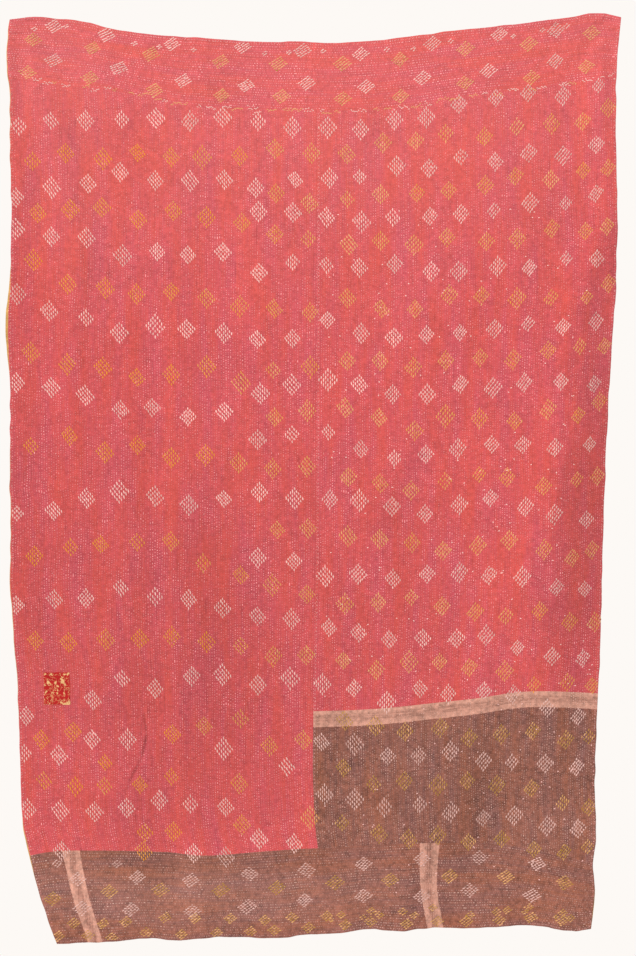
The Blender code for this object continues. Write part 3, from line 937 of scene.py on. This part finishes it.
def worn_and_shaded(colour, dye_and_shade, mottle):
    """Wear and painted light and shade over a colour: the mark of dye and painted light and shade, and soft
    mottles of three sizes. Where the mark rises over 1, from faded dye and from the painted light at the
    head, the colour also goes paler."""
    place = put(colour.tree, "ShaderNodeTexCoord", output="Object")
    coarse = noise(place, 9, 3, (1, 1, 0.7)) * 0.6 + noise(place, 42, 2, (1, 1, 0.8)) * 0.4
    swing = (coarse + noise(place, 115, 2) * 1.6 - 1.3) * mottle
    # Paler where the mark rises over 1: faded dye, and the painted light at the head.
    fade_and_painted_light = sums("MAXIMUM", dye_and_shade - 1.0, 0.0) * 0.45
    return [mixed(fade_and_painted_light, dimmed(colour, dye_and_shade * (swing * 4.0 + 1.0)), linear((0.85, 0.66, 0.62)))]


# How deep the bumps of the finishes are, in metres: the puffs, the dashes and the weave of quilted cotton,
# the weave of the print and the twist of the thread.
PUFF_DEPTH, DASH_DEPTH, WEAVE_DEPTH = 0.00036, 0.00022, 0.00006
PRINT_DEPTH = 0.00007
TWIST_DEPTH = 0.00012
# How much each finish mirrors, how wide its sheen spreads, and how rough its noise is.
SPECULAR, SHEEN_SPREAD = 0.25, 0.5
NOISE_ROUGHNESS = 0.55

FLOAT, VECTOR, COLOR = "NodeSocketFloat", "NodeSocketVector", "NodeSocketColor"
# The shared shader groups: what each works out, its inputs as (name, kind, value) and its outputs.
EFFECTS = {
    "running_stitch": (
        running_stitch,
        (("Thread", VECTOR, None), ("Pitch", FLOAT, 0.00545), ("Length", FLOAT, 0.006),
         ("Thread Width", FLOAT, 0.0011)),
        (("Dash", FLOAT), ("Puff", FLOAT)),
    ),
    "plain_weave": (
        plain_weave,
        (("Thread", VECTOR, None), ("Pitch", FLOAT, 0.0009)),
        (("Height", FLOAT), ("Slub", FLOAT)),
    ),
    "streaked_dye": (
        streaked_dye,
        (("Thread", VECTOR, None), ("First", COLOR, None), ("Second", COLOR, None), ("Dark", COLOR, None),
         ("Dark Share", FLOAT, 0.5)),
        (("Color", COLOR), ("Streak", FLOAT)),
    ),
    "worn_and_shaded": (
        worn_and_shaded,
        (("Color", COLOR, None), ("Dye And Shade", FLOAT, 1.0), ("Mottle", FLOAT, 0.06)),
        (("Color", COLOR),),
    ),
}


def new_group(name):
    """One of the shared shader groups, with its sockets and what it works out between them."""
    work, inputs, outputs = EFFECTS[name]
    tree = bpy.data.node_groups.new(name, "ShaderNodeTree")
    for socket, kind, value in inputs:
        made = tree.interface.new_socket(name=socket, in_out="INPUT", socket_type=kind)
        if value is not None:
            made.default_value = value
    for socket, kind in outputs:
        tree.interface.new_socket(name=socket, in_out="OUTPUT", socket_type=kind)
    given = tree.nodes.new("NodeGroupInput").outputs
    results = work(*(Wire(tree, given[socket]) for socket, _, _ in inputs))
    end = tree.nodes.new("NodeGroupOutput")
    for place, result in enumerate(results):
        tree.links.new(result.socket, end.inputs[place])
    return tree


def effect(tree, name, *inputs):
    """The wires from a shared shader group, built on its first use and placed with its own values."""
    group = bpy.data.node_groups.get(name) or new_group(name)
    outputs = node_in(tree, "ShaderNodeGroup", inputs, node_tree=group).outputs
    return [Wire(tree, outputs[socket]) for socket, _ in EFFECTS[name][2]]


def new_material(name, roughness, sheen, tint):
    """A material and its tree, with its plain values set on the shader itself."""
    made = bpy.data.materials.new(name)
    made.use_nodes = True
    tree = made.node_tree
    plain = {
        "Roughness": roughness, "Specular IOR Level": SPECULAR, "Sheen Weight": sheen,
        "Sheen Roughness": SHEEN_SPREAD, "Sheen Tint": linear(tint),
    }
    for key, value in plain.items():
        tree.nodes["Principled BSDF"].inputs[key].default_value = value
    return made, tree


def thread_map(tree):
    """The wire of the piece's thread map."""
    return put(tree, "ShaderNodeUVMap", output="UV", uv_map="thread")


def finished(made, colour, heights=(), strength=0.7):
    """The material with its colour and its bump, added up from (height wire, depth in metres) pairs."""
    tree = made.node_tree
    shader = tree.nodes["Principled BSDF"]
    tree.links.new(colour.socket, shader.inputs["Base Color"])
    if heights:
        (first, depth), *others = heights
        total = first * depth
        for height, depth in others:
            total = total + height * depth
        bump = put(tree, "ShaderNodeBump", [("Height", total), ("Strength", strength), ("Distance", 1.0)])
        tree.links.new(bump.socket, shader.inputs["Normal"])
    return made


def quilted_cloth(name, first, second, dark, dark_share, dash, dash_share, mottle, over=None):
    """Quilted cotton: streaked dye under wear and painted light and shade, painted shade in the hollow of
    each stitched row, pale dashes of running stitch that show more in some places and streaks than in others,
    and the relief of the weave, the puffs between rows and the dashes. over lays another colour on the dye
    before the wear."""
    if name in bpy.data.materials:
        return bpy.data.materials[name]
    made, tree = new_material(name, 0.92, 0.12, (1.0, 0.9, 0.86))
    thread, sizes = thread_map(tree), bpy.context.scene.quilt_sizes
    colour, streak = effect(
        tree, "streaked_dye", ("Thread", thread), ("First", linear(first)), ("Second", linear(second)),
        ("Dark", linear(dark)), ("Dark Share", dark_share),
    )
    if over:
        colour = over(thread, colour)
    colour, = effect(tree, "worn_and_shaded", ("Color", colour), ("Dye And Shade", mark(tree, "dye_and_shade")), ("Mottle", mottle))
    dashes, puff = effect(
        tree, "running_stitch", ("Thread", thread), ("Pitch", sizes.quilting_pitch),
        ("Length", sizes.running_stitch),
    )
    weave, slub = effect(tree, "plain_weave", ("Thread", thread))
    # The puff term is painted shade: darker in the hollow of each stitched row, lighter where the cloth
    # puffs.
    colour = dimmed(colour, (slub * 0.16 + 0.92) * (puff * 0.08 + 0.95))
    showing = ramped(noise(thread, 1, 2, (60, 14, 1), (5.1, 2.2, 0)), 0.30, 0.72) * 0.75 + 0.25
    share = dashes * (showing * (streak * 0.6 + 0.4) * dash_share)
    heights = [(puff, PUFF_DEPTH), (dashes, DASH_DEPTH), (weave, WEAVE_DEPTH)]
    return finished(made, mixed(share, colour, linear(dash)), heights)


def tan_band(colour, inside, shade):
    """Tan shaded to its dark threads, laid on the colour where inside is 1."""
    colours = bpy.context.scene.quilt_colours
    return mixed(inside, colour, mixed(shade, linear(colours.tan), linear(colours.tan_shade)))


def over_brown(thread, colour):
    """The tan border along the head of the brown panel: two tan edges, and between them a band streaked
    with thin dark threads that run along it."""
    across, _ = split(thread)
    below = mark(thread.tree, "below")
    place = joined(across, below)
    edge = below + (noise(place, 1, 2, (90, 20, 1)) * 0.003 - 0.0015)
    inside = 1.0 - ramped(edge, BORDER_WIDTH * MM, (BORDER_WIDTH + BORDER_FRAY) * MM)
    dusk = 1.0 - ramped(abs(edge - BORDER_WIDTH * MM * BORDER_MIDDLE), 0.005, 0.012)
    threads = ramped(noise(place, 1, 2, (16, 620, 1), (4, 9, 0)), 0.38, 0.62)
    return tan_band(colour, inside, dusk * (threads * 0.55 + 0.14) + threads * 0.12)


def over_strip(thread, colour):
    """The two tan bands: tan within one half width of the middle, with dusky threads down the middle."""
    off = mark(thread.tree, "band") + (noise(thread, 130, 2) * 0.2 - 0.1)
    dusk = 1.0 - ramped(off, 0.12, 0.60)
    threads = ramped(noise(thread, 1, 2, (18, 420, 1), (2, 6, 0)), 0.38, 0.62)
    shade = dusk * (threads * 0.65 + 0.35) + (threads * 0.16 + 0.05)
    return tan_band(colour, 1.0 - ramped(off, 0.95, 1.05), shade)


def red_cotton(name="quilted_red", dash_share=0.95):
    """Red cotton between coral and mauve, with pink dashes."""
    colours = bpy.context.scene.quilt_colours
    dark, dash = (0.53, 0.18, 0.20), (1.0, 0.68, 0.68)
    return quilted_cloth(name, colours.coral, colours.mauve, dark, 0.45, dash, dash_share, 0.105)


def brown_cotton(name, over):
    """Brown cotton with its tan border or bands, and buff dashes."""
    colours = bpy.context.scene.quilt_colours
    dark, dash = (0.31, 0.18, 0.17), (0.83, 0.67, 0.62)
    return quilted_cloth(name, colours.brown, colours.dusky_brown, dark, 0.62, dash, 1.06, 0.22, over)


def ochre_cotton():
    """Faded ochre lining with the backs of the running stitches."""
    colours = bpy.context.scene.quilt_colours
    second, dark, dash = (0.700, 0.520, 0.285), (0.58, 0.42, 0.24), (0.98, 0.87, 0.74)
    return quilted_cloth("quilted_ochre", colours.ochre, second, dark, 0.25, dash, 2.0, 0.17)


# The colours of each thread, as (place on its range, colour).
THREAD_STOPS = {
    "white": ((0.0, (0.66, 0.50, 0.46)), (1.0, (0.97, 0.795, 0.76))),
    "yellow": (
        (0.0, (0.65, 0.48, 0.18)), (0.35, (0.90, 0.68, 0.465)), (0.6, (0.84, 0.59, 0.34)),
        (1.0, (0.89, 0.57, 0.13)),
    ),
    "pink": ((0.0, (0.86, 0.56, 0.55)), (1.0, (0.98, 0.80, 0.77))),
}
# How far apart the ridges of the twisted plies are, in metres.
PLY_TWIST = 0.0011


def sewing_thread(thread):
    """Cotton thread: a colour from its stops by the stitch's shade, dimmed by the dye and the painted light
    and shade beneath, with a painted highlight where a ply stands high, and the twist of its plies as
    slanting ridges."""
    stops = THREAD_STOPS[thread]
    made, tree = new_material(f"{thread}_cotton_thread", 0.75, 0.15, (1.0, 0.97, 0.92))
    ramp = node_in(tree, "ShaderNodeValToRGB", [(0, mark(tree, "shade"))])
    while len(ramp.color_ramp.elements) < len(stops):
        ramp.color_ramp.elements.new(1.0)
    for element, (at, rgb) in zip(ramp.color_ramp.elements, stops):
        element.position, element.color = at, linear(rgb)
    across, down = split(thread_map(tree))
    twist = sums("SINE", (across + down * 0.8) * (2 * math.pi / PLY_TWIST)) * 0.5 + 0.5
    # Painted highlight on each high ply, times the painted light and shade of the cloth beneath.
    level = (twist * 0.12 + 0.90) * mark(tree, "dye_and_shade")
    return finished(made, dimmed(Wire(tree, ramp.outputs[0]), level), [(twist, TWIST_DEPTH)], 0.8)


def print_cotton():
    """Printed mending cloth: cream blooms with red hearts and thin curls on red, cut out of noise."""
    made, tree = new_material("floral_print", 0.85, 0.12, (1.0, 0.9, 0.85))
    thread = thread_map(tree)
    blooms = ramped(noise(thread, 62, 2, shift=(0.57, 0.34, 0)), 0.575, 0.60)
    hearts = ramped(noise(thread, 230, 1), 0.60, 0.64)
    curls = 1.0 - ramped(abs(noise(thread, 88, 2) - 0.5), 0.008, 0.020)
    light = sums("MAXIMUM", blooms * (1.0 - hearts), curls * 0.7)
    colour = mixed(light, linear((0.66, 0.09, 0.09)), linear((0.84, 0.66, 0.45)))
    colour, = effect(tree, "worn_and_shaded", ("Color", colour), ("Dye And Shade", 1.0), ("Mottle", 0.08))
    weave, _ = effect(tree, "plain_weave", ("Thread", thread))
    return finished(made, colour, [(weave, PRINT_DEPTH)])


def lozenge(side):
    """Steps of a lozenge's stitches from its middle, as (columns across, stitches along): each column
    holds one stitch fewer for each step away from the middle column."""
    steps = [
        (column, place - (side - abs(column) - 1) / 2)
        for column in range(1 - side, side)
        for place in range(side - abs(column))
    ]
    return np.array(steps, float).T


def on_patch(x, z):
    """Whether a motif at (x, z) would lie on the mending patch."""
    left, right, low, high = PATCH_CLEAR
    return left < x < right and low < z < high


def on_brown(x, z):
    """Whether (x, z) lies on the brown panel or the bottom strip."""
    return bool(z < smooth_line(STRIP_SEAM, x) or (x > 0 and z < smooth_line(BORDER_SEAM, x)))


class Sewing:
    """Sews motifs into the lists of white, yellow and pink stitches, from one seeded run of chances."""

    def __init__(self, seed):
        self.chance = np.random.default_rng(seed)
        self.threads = {"white": Threads(), "yellow": Threads(), "pink": Threads()}

    def motif(self, thread, x, z, side, sideways, lean, squeeze, shade, tilt=0.0):
        """One lozenge at (x, z). lean shears it and slants its stitches, squeeze makes it smaller and tilt
        turns a sideways one along its row."""
        normal, sizes = self.chance.normal, bpy.context.scene.quilt_sizes
        pitch, step = sizes.motif_pitch / MM * squeeze, sizes.motif_step / MM * squeeze
        if sideways:
            pitch, step = pitch * SIDEWAYS_PITCH, step * SIDEWAYS_STEP
        column, place = lozenge(side)
        count = len(column)
        shear = lean * (SIDEWAYS_SHEAR if sideways else UPRIGHT_SHEAR) + normal(0, SHEAR)
        slip = normal(0, ALONG, count)
        over = column * pitch + normal(0, ACROSS, count)
        run = place * step * normal(1, STEP) + shear * column + slip
        slant = math.radians(lean * LEAN_DEGREES + normal(0, SLANT_DEGREES)) + normal(0, ANGLE, count)
        length = step * STITCH_SHARE * normal(1, STITCH_LENGTH, count)
        width = sizes.motif_thread / MM * (SIDEWAYS_THREAD if sideways else 1)
        width = width * normal(1, STITCH_WIDTH, count)
        shades = np.clip(shade + normal(0, SHADE, count), 0, 1)
        if sideways:
            x = x + run * math.cos(tilt) - over * math.sin(tilt)
            z = z + run * math.sin(tilt) + over * math.cos(tilt)
            self.threads[thread].add(x, z, slant + tilt, length, width, shades)
        else:
            self.threads[thread].add(x + over, z + run, math.pi / 2 - slant, length, width, shades)

    def panel(self, rows, starts, first, last, base, places):
        """Places of the motifs at each row of a panel whose left edge is at share base, as (x, z, whether
        yellow), white and yellow in turn. rows give z at the places across, and only columns from first to
        last are placed."""
        found = []
        for row, heights in enumerate(rows):
            yellow = row % 2
            shares = np.arange(starts[yellow], 1.0, MOTIF_STEP)
            shares = shares[(shares >= first) & (shares < last)]
            z = np.interp(shares, places, heights) + self.chance.normal(0, ROW_SPREAD, len(shares))
            x = across_at(base + shares, z) + self.chance.normal(0, COLUMN_SPREAD, len(shares))
            found.append(np.stack([x, z, np.full(len(x), yellow)], -1))
        return np.concatenate(found)

    def upright(self, thread, x, z):
        """One motif of a panel: it leans left on the left of the quilt and right on the right, and narrows
        where the right side turns back."""
        if on_patch(x, z):
            return
        side = 4 if self.chance.random() < SMALL_MOTIF else 5
        size = self.chance.normal(1.0 if side == 5 else SMALL_MOTIF_SIZE, SIZE_SPREAD)
        squeeze, lean = np.interp(x, *SQUEEZE) * size, np.interp(x, *LEAN)
        lean = lean + self.chance.normal(0, LEAN_SPREAD)
        self.motif(thread, x, z, side, False, lean, squeeze, self.shade(thread, x, z))

    def shade(self, thread, x, z):
        """Where on its thread's range of colours a motif lies: white is brighter and yellow warmer at the
        left, and both are duller on brown."""
        if thread == "white":
            level, swing = WHITE_ON_BROWN if on_brown(x, z) else np.interp(x, *BRIGHT), WHITE_SPREAD
        elif on_brown(x, z):
            level, swing = YELLOW_ON_BROWN, YELLOW_BROWN_SPREAD
        else:
            level, swing = np.interp(x, *WARM), YELLOW_SPREAD
        return float(np.clip(level + self.chance.normal(0, swing), 0, 1))

    def rows_across(self, rows, upper_line, lower_line, lean):
        """Sideways motifs along rows between two lines across the quilt, leaning by about lean."""
        normal = self.chance.normal
        for thread, side, left_share, right_share, first, last, step in rows:
            for x in np.arange(first, last, step) + normal(*ROW_SHIFT):
                x = x + normal(*ROW_PLACE)
                share = np.interp(x, ROW_ENDS, (left_share, right_share)) + normal(*ROW_SHARE)
                near = np.array([x - TILT_REACH, x, x + TILT_REACH])
                line = smooth_line(upper_line, near) * (1 - share) + smooth_line(lower_line, near) * share
                z, tilt = line[1], math.atan((line[2] - line[0]) / (2 * TILT_REACH))
                shade = self.shade(thread, x, z)
                if thread == "yellow" and not on_brown(x, z):
                    shade = YELLOW_ON_BAND + normal(0, ROW_YELLOW_SPREAD)
                squeeze = normal(*ROW_SIZE)
                self.motif(thread, x, z, side, True, normal(lean, ROW_LEAN_SPREAD), squeeze, shade, tilt)

    def around(self, mean, swing, count):
        """Values about a mean, or the mean itself where nothing swings."""
        return self.chance.normal(mean, swing, count) if swing else mean

    def small_stitches(self, row):
        """A line of small pink stitches, which overcast an edge or run along a seam."""
        place_swing, inset_swing, angle_swing, shade_swing = row.spreads
        at = np.arange(*row.places)
        count = len(at)
        at = at + self.around(0, place_swing, count)
        off = smooth_line(row.line, at) + row.side * self.around(row.inset, inset_swing, count)
        angle = self.around(row.angle, angle_swing, count)
        shade = np.clip(self.around(row.shade, shade_swing, count), 0, 1)
        x, z = (off, at) if row.down else (at, off)
        self.threads["pink"].add(x, z, angle, row.length, row.width, shade)


def spread(places):
    """The places moved apart up and down until no two motifs touch: each pair nearer than the clearance
    shares out what is missing."""
    places = places.copy()
    for _ in range(SPREAD_ROUNDS):
        apart = places[:, None, :2] - places[None, :, :2]
        lack = np.clip(CLEAR_DOWN - np.abs(apart[..., 1]), 0, None) * (np.abs(apart[..., 0]) < CLEAR_ACROSS)
        np.fill_diagonal(lack, 0)
        places[:, 1] += SPREAD_SHARE * (np.sign(apart[..., 1]) * lack).sum(1)
    return places


def sew_motifs(sewing):
    """All motifs of the panels, the bands and the strip."""
    chance = sewing.chance
    left = sewing.panel(LEFT_MOTIFS, LEFT_STARTS, 0.0, SEAM_COLUMNS_FROM, 0, LEFT_PLACES)
    beside = [(z, z) for z in SEAM_MOTIFS]
    middle = sewing.panel(beside, LEFT_STARTS, SEAM_COLUMNS_FROM, 1.0, 0, (0.0, 1.0))
    right = sewing.panel(RIGHT_MOTIFS, RIGHT_STARTS, 0.0, RIGHT_COLUMNS_TO, 1, RIGHT_PLACES)
    for x, z, yellow in spread(np.concatenate([left, middle, right])):
        left_out = chance.random() < LEFT_OUT
        if not (left_out and z < LEFT_OUT_BELOW and x < 0):
            sewing.upright("yellow" if yellow else "white", x, z)
    sewing.rows_across(BAND_MOTIFS, TOP_EDGE, BAND_SEAM, BAND_LEAN)
    sewing.rows_across(STRIP_MOTIFS, STRIP_SEAM, HEM, STRIP_LEAN)
    for x in np.arange(SPRAYS_FROM, SPRAYS_TO, SPRAY_STEP) + chance.normal(*SPRAYS_SHIFT, SPRAY_COUNT):
        for side, across, up in SPRAYS[int(x > 0)]:
            if side == 4 or chance.random() < SPRAY_CHANCE:
                at = x + across + chance.normal(*SPRAY_PLACE)
                z = float(smooth_line(HEM, at)) + up + chance.normal(*SPRAY_UP)
                lean = chance.normal(*SPRAY_LEAN)
                sewing.motif("yellow", at, z, side, True, lean, SPRAY_SIZE, YELLOW_SPRAY)


def sew_details(sewing):
    """Small clusters along the band seam and single specks over the panels."""
    chance = sewing.chance
    for x in np.arange(*CLUSTERS):
        x = x + chance.normal(*CLUSTER_SHIFT)
        z = float(smooth_line(BAND_SEAM, x)) + chance.normal(*CLUSTER_UP)
        count = int(chance.integers(*CLUSTER_COUNT))
        thread = "white" if chance.random() < CLUSTER_WHITE else "yellow"
        at, off = x + np.arange(count) * CLUSTER_STEP, z + chance.normal(*CLUSTER_OFF, count)
        shape = CLUSTER_LENGTH, CLUSTER_WIDTH, CLUSTER_SHADE[thread]
        sewing.threads[thread].add(at, off, chance.normal(*LOOSE_ANGLE, count), *shape)
    for count, x_range, z_range, lengths, width, on_red_shade, on_brown_shade in SPECKS:
        for _ in range(count):
            x, z = chance.uniform(*x_range), chance.uniform(*z_range)
            shade = on_brown_shade if on_brown(x, z) else on_red_shade
            angle, length = chance.normal(*LOOSE_ANGLE), chance.uniform(*lengths)
            sewing.threads["pink"].add(x, z, angle, length, width, shade)


def sew_edges(sewing):
    """The small stitches along the edges and the middle seam, the motifs that cross the strip seam, and the
    outermost column of yellow motifs."""
    chance = sewing.chance
    for row in SMALL_STITCHES:
        sewing.small_stitches(row)
    for thread, x in CROSSING_MOTIFS:
        x = x + chance.normal(*CROSSING_SHIFT)
        sewing.upright(thread, x, float(smooth_line(STRIP_SEAM, x)) + chance.normal(*CROSSING_UP))
    for heights in RIGHT_MOTIFS[1::2]:
        z = heights[-1] + chance.normal(*EDGE_COLUMN_UP)
        sewing.upright("yellow", float(across_at(EDGE_COLUMN, z)) + chance.normal(*EDGE_COLUMN_SHIFT), z)


def length_setting(name, description, default):
    return FloatProperty(
        name=name, description=description, default=default, min=0.0, unit="LENGTH", precision=5
    )


def colour_setting(name, description, default):
    return FloatVectorProperty(
        name=name, description=description, default=default, size=3, min=0.0, max=1.0, subtype="COLOR_GAMMA"
    )


class QuiltSizes(bpy.types.PropertyGroup):
    """Sizes of the stitching."""

    quilting_pitch: length_setting("Quilting pitch", "From one row of running stitch to the next", 0.00545)
    running_stitch: length_setting("Running stitch", "From one dash of running stitch to the next", 0.0057)
    quilting_relief: length_setting("Quilting relief", "How far the cloth puffs between two rows", 0.0006)
    motif_pitch: length_setting("Motif pitch", "From one column of a motif's stitches to the next", 0.0049)
    motif_step: length_setting("Motif step", "From one stitch to the next along a motif's column", 0.0112)
    motif_thread: length_setting("Motif thread", "Width of a stitch in a motif", 0.0031)
    stitch_height: length_setting("Stitch height", "How far a motif's stitch stands out", 0.0011)


class QuiltColours(bpy.types.PropertyGroup):
    """Colours of the cloths."""

    coral: colour_setting("Coral", "Warm shade of the red cotton", (0.770, 0.300, 0.276))
    mauve: colour_setting("Mauve", "Cool shade of the red cotton", (0.732, 0.296, 0.336))
    brown: colour_setting("Brown", "Warm shade of the brown cotton", (0.545, 0.325, 0.250))
    dusky_brown: colour_setting("Dusky brown", "Cool shade of the brown cotton", (0.472, 0.308, 0.288))
    tan: colour_setting("Tan", "The woven border and the short bands", (0.762, 0.552, 0.482))
    tan_shade: colour_setting("Tan shade", "The dark threads of the border and bands", (0.590, 0.400, 0.345))
    ochre: colour_setting("Ochre", "The lining", (0.800, 0.630, 0.375))


class QUILT_OT_left_panel(bpy.types.Operator):
    """Lay the long red panel on the left"""

    bl_idname = "quilt.left_panel"
    bl_label = "Left Panel"

    def execute(self, context):
        return lay("red_panel_left", red_cotton())


class QUILT_OT_right_panel(bpy.types.Operator):
    """Lay the shorter red panel on the right"""

    bl_idname = "quilt.right_panel"
    bl_label = "Right Panel"

    def execute(self, context):
        return lay("red_panel_right", red_cotton())


class QUILT_OT_brown_panel(bpy.types.Operator):
    """Lay the brown panel with its woven tan border"""

    bl_idname = "quilt.brown_panel"
    bl_label = "Brown Panel"

    def execute(self, context):
        x, z = grid_of(CLOTHS["brown_panel_sheet"])
        below = {"below": (z[:1] - z) * MM}
        return lay("brown_panel_sheet", brown_cotton("quilted_brown", over_brown), (x, z), marks=below)


class QUILT_OT_top_bands(bpy.types.Operator):
    """Lay the red band across the head in its two lengths"""

    bl_idname = "quilt.top_bands"
    bl_label = "Top Bands"

    def execute(self, context):
        finish = red_cotton("quilted_red_band", 1.3)
        lay("red_band_left", finish)
        return lay("red_band_right", finish)


class QUILT_OT_bottom_strip(bpy.types.Operator):
    """Lay the brown strip across the foot with its two short tan bands"""

    bl_idname = "quilt.bottom_strip"
    bl_label = "Bottom Strip"

    def execute(self, context):
        x, z = grid_of(CLOTHS["brown_strip"])
        off = []
        for places in TAN_BANDS:
            middle = smooth_line([(at, across) for at, across, _ in places], z)
            off.append(np.abs(x - middle) / smooth_line([(at, half) for at, _, half in places], z))
        finish = brown_cotton("quilted_brown_strip", over_strip)
        return lay("brown_strip", finish, (x, z), marks={"band": np.minimum(*off)})


class QUILT_OT_patch(bpy.types.Operator):
    """Lay the small printed patch that mends the left panel"""

    bl_idname = "quilt.patch"
    bl_label = "Patch"

    def execute(self, context):
        x, z = grid_of(CLOTHS["printed_mend"])
        fray = PATCH_FRAY * cloud(x / PATCH_FRAY_LENGTH, z / PATCH_FRAY_LENGTH, PATCH_FRAY_SEED)
        down, across = (np.abs(np.linspace(-1, 1, count)) ** PATCH_FRAY_POWER for count in x.shape)
        frayed = (x + fray * across, z + fray * down[:, None])
        return lay("printed_mend", print_cotton(), frayed, PATCH_LIFT)


class QUILT_OT_lining(bpy.types.Operator):
    """Lay the ochre lining behind the whole quilt"""

    bl_idname = "quilt.lining"
    bl_label = "Lining"

    def execute(self, context):
        x, z = grid_of(CLOTHS["ochre_back"])
        columns = x.shape[1] - 1
        share = np.linspace(0, 1, columns + 1)
        left, right = smooth_line(LEFT_LIP, z[:, :1]), smooth_line(RIGHT_LIP, z[:, -1:])
        x = x - left * (1 - share) ** LIP_POWER + right * share**LIP_POWER
        y = lining_face(x, z) + clouds(PUCKERS, x, z)
        pitch, wide = context.scene.quilt_sizes.quilting_pitch, HALF_WIDTH * 2 * MM
        plain = PLAIN_ROWS * pitch
        across = np.indices(x.shape)[1] * (wide / columns)
        across = np.clip(across, plain, math.floor(wide / pitch) * pitch - plain)
        return sheet("ochre_back", x, y, z, across, -z * MM, {}, ochre_cotton(), flip=True)


class QUILT_OT_stitches(bpy.types.Operator):
    """Sew the motifs and their backs, the specks and the edge stitches"""

    bl_idname = "quilt.stitches"
    bl_label = "Stitches"

    def execute(self, context):
        sewing = Sewing(SEWING_SEED)
        sew_motifs(sewing)
        sew_details(sewing)
        sew_edges(sewing)
        for thread, stitches in sewing.threads.items():
            finish = sewing_thread(thread)
            stitches.sewn(f"{thread}_stitches", -1, finish, f"{thread}_thread")
            stitches.sewn(f"{thread}_stitches_behind", 1, finish, f"{thread}_thread")
        return {"FINISHED"}


# The floor, as its half width, its front, its back and how far it lies below the origin, in metres.
FLOOR = (4, -6, 1, -2.45)
# The camera in front of the quilt, and the height that it takes in at the quilt.
CAMERA_PLACE = (0.0046, -3.2, -1.003)
CAMERA_SPAN = 2.199
# The lights, as (name, azimuth, elevation, strength, spread), with angles in degrees.
SUNS = (("key", -28, 30, 2.85, 25), ("back", 160, 40, 1.5, 40))
BACKDROP = (0.992, 0.976, 0.961)
SKY = (1.0, 0.99, 0.975)
SKY_STRENGTH = 0.48


def linked(name, data):
    """A new object in the scene."""
    made = bpy.data.objects.new(name, data)
    bpy.context.scene.collection.objects.link(made)
    return made


def lay_floor():
    """A plain pale floor with a faint grain."""
    half, front, back, height = FLOOR
    mesh = bpy.data.meshes.new("floor")
    corners = [(-half, front, height), (half, front, height), (half, back, height), (-half, back, height)]
    mesh.from_pydata(corners, [], [(0, 1, 2, 3)])
    made, tree = new_material("pale_floor", 0.8, 0.0, (1, 1, 1))
    grain = noise(put(tree, "ShaderNodeTexCoord", output="Object"), 3, 2)
    colour = mixed(grain, linear((0.87, 0.86, 0.84)), linear((0.89, 0.88, 0.86)))
    mesh.materials.append(finished(made, colour))
    linked("floor", mesh)


def hang_backdrop(world):
    """A plain backdrop that the camera sees, and a soft sky that lights the quilt."""
    world.use_nodes = True
    tree = world.node_tree
    seen = tree.nodes["Background"]
    seen.inputs["Color"].default_value = linear(BACKDROP)
    lit = put(tree, "ShaderNodeBackground", [("Color", linear(SKY)), ("Strength", SKY_STRENGTH)])
    path = put(tree, "ShaderNodeLightPath", output="Is Camera Ray")
    both = put(tree, "ShaderNodeMixShader", [(0, path), (1, lit), (2, Wire(tree, seen.outputs[0]))])
    tree.links.new(both.socket, tree.nodes["World Output"].inputs["Surface"])


class QUILT_OT_stage(bpy.types.Operator):
    """Set the floor, the lights, the backdrop and the camera"""

    bl_idname = "quilt.stage"
    bl_label = "Stage"

    def execute(self, context):
        lay_floor()
        context.scene.world = bpy.data.worlds.new("backdrop")
        hang_backdrop(context.scene.world)
        for name, azimuth, elevation, energy, breadth in SUNS:
            light = bpy.data.lights.new(name, "SUN")
            light.energy, light.angle = energy, math.radians(breadth)
            turn, rise = math.radians(azimuth), math.radians(elevation)
            flat = math.cos(rise)
            way = Vector((math.sin(turn) * flat, -math.cos(turn) * flat, math.sin(rise)))
            linked(name, light).rotation_euler = way.to_track_quat("Z", "Y").to_euler()
        camera = bpy.data.cameras.new("camera")
        camera.sensor_fit = "VERTICAL"
        camera.angle = 2 * math.atan(CAMERA_SPAN / 2 / -CAMERA_PLACE[1])
        eye = linked("camera", camera)
        eye.location, eye.rotation_euler = CAMERA_PLACE, (math.pi / 2, 0, 0)
        context.scene.camera = eye
        context.scene.view_settings.view_transform = "Standard"
        return {"FINISHED"}


OPERATORS = (
    QUILT_OT_left_panel, QUILT_OT_right_panel, QUILT_OT_brown_panel, QUILT_OT_top_bands,
    QUILT_OT_bottom_strip, QUILT_OT_patch, QUILT_OT_lining, QUILT_OT_stitches, QUILT_OT_stage,
)


class QUILT_PT_panel(bpy.types.Panel):
    """The quilt's pieces and settings"""

    bl_idname = "QUILT_PT_panel"
    bl_label = "Kantha Quilt"
    bl_space_type = "VIEW_3D"
    bl_region_type = "UI"
    bl_category = "Quilt"

    def draw(self, context):
        column = self.layout.column()
        for group in (context.scene.quilt_sizes, context.scene.quilt_colours):
            for name in group.__annotations__:
                column.prop(group, name)
        for operator in OPERATORS:
            column.operator(operator.bl_idname)


CLASSES = (QuiltSizes, QuiltColours, *OPERATORS, QUILT_PT_panel)


def register():
    for made in CLASSES:
        bpy.utils.register_class(made)
    bpy.types.Scene.quilt_sizes = PointerProperty(type=QuiltSizes)
    bpy.types.Scene.quilt_colours = PointerProperty(type=QuiltColours)


def unregister():
    del bpy.types.Scene.quilt_colours
    del bpy.types.Scene.quilt_sizes
    for made in reversed(CLASSES):
        bpy.utils.unregister_class(made)


def main():
    register()
    for operator in OPERATORS:
        group, name = operator.bl_idname.split(".")
        getattr(getattr(bpy.ops, group), name)()


if __name__ == "__main__":
    main()
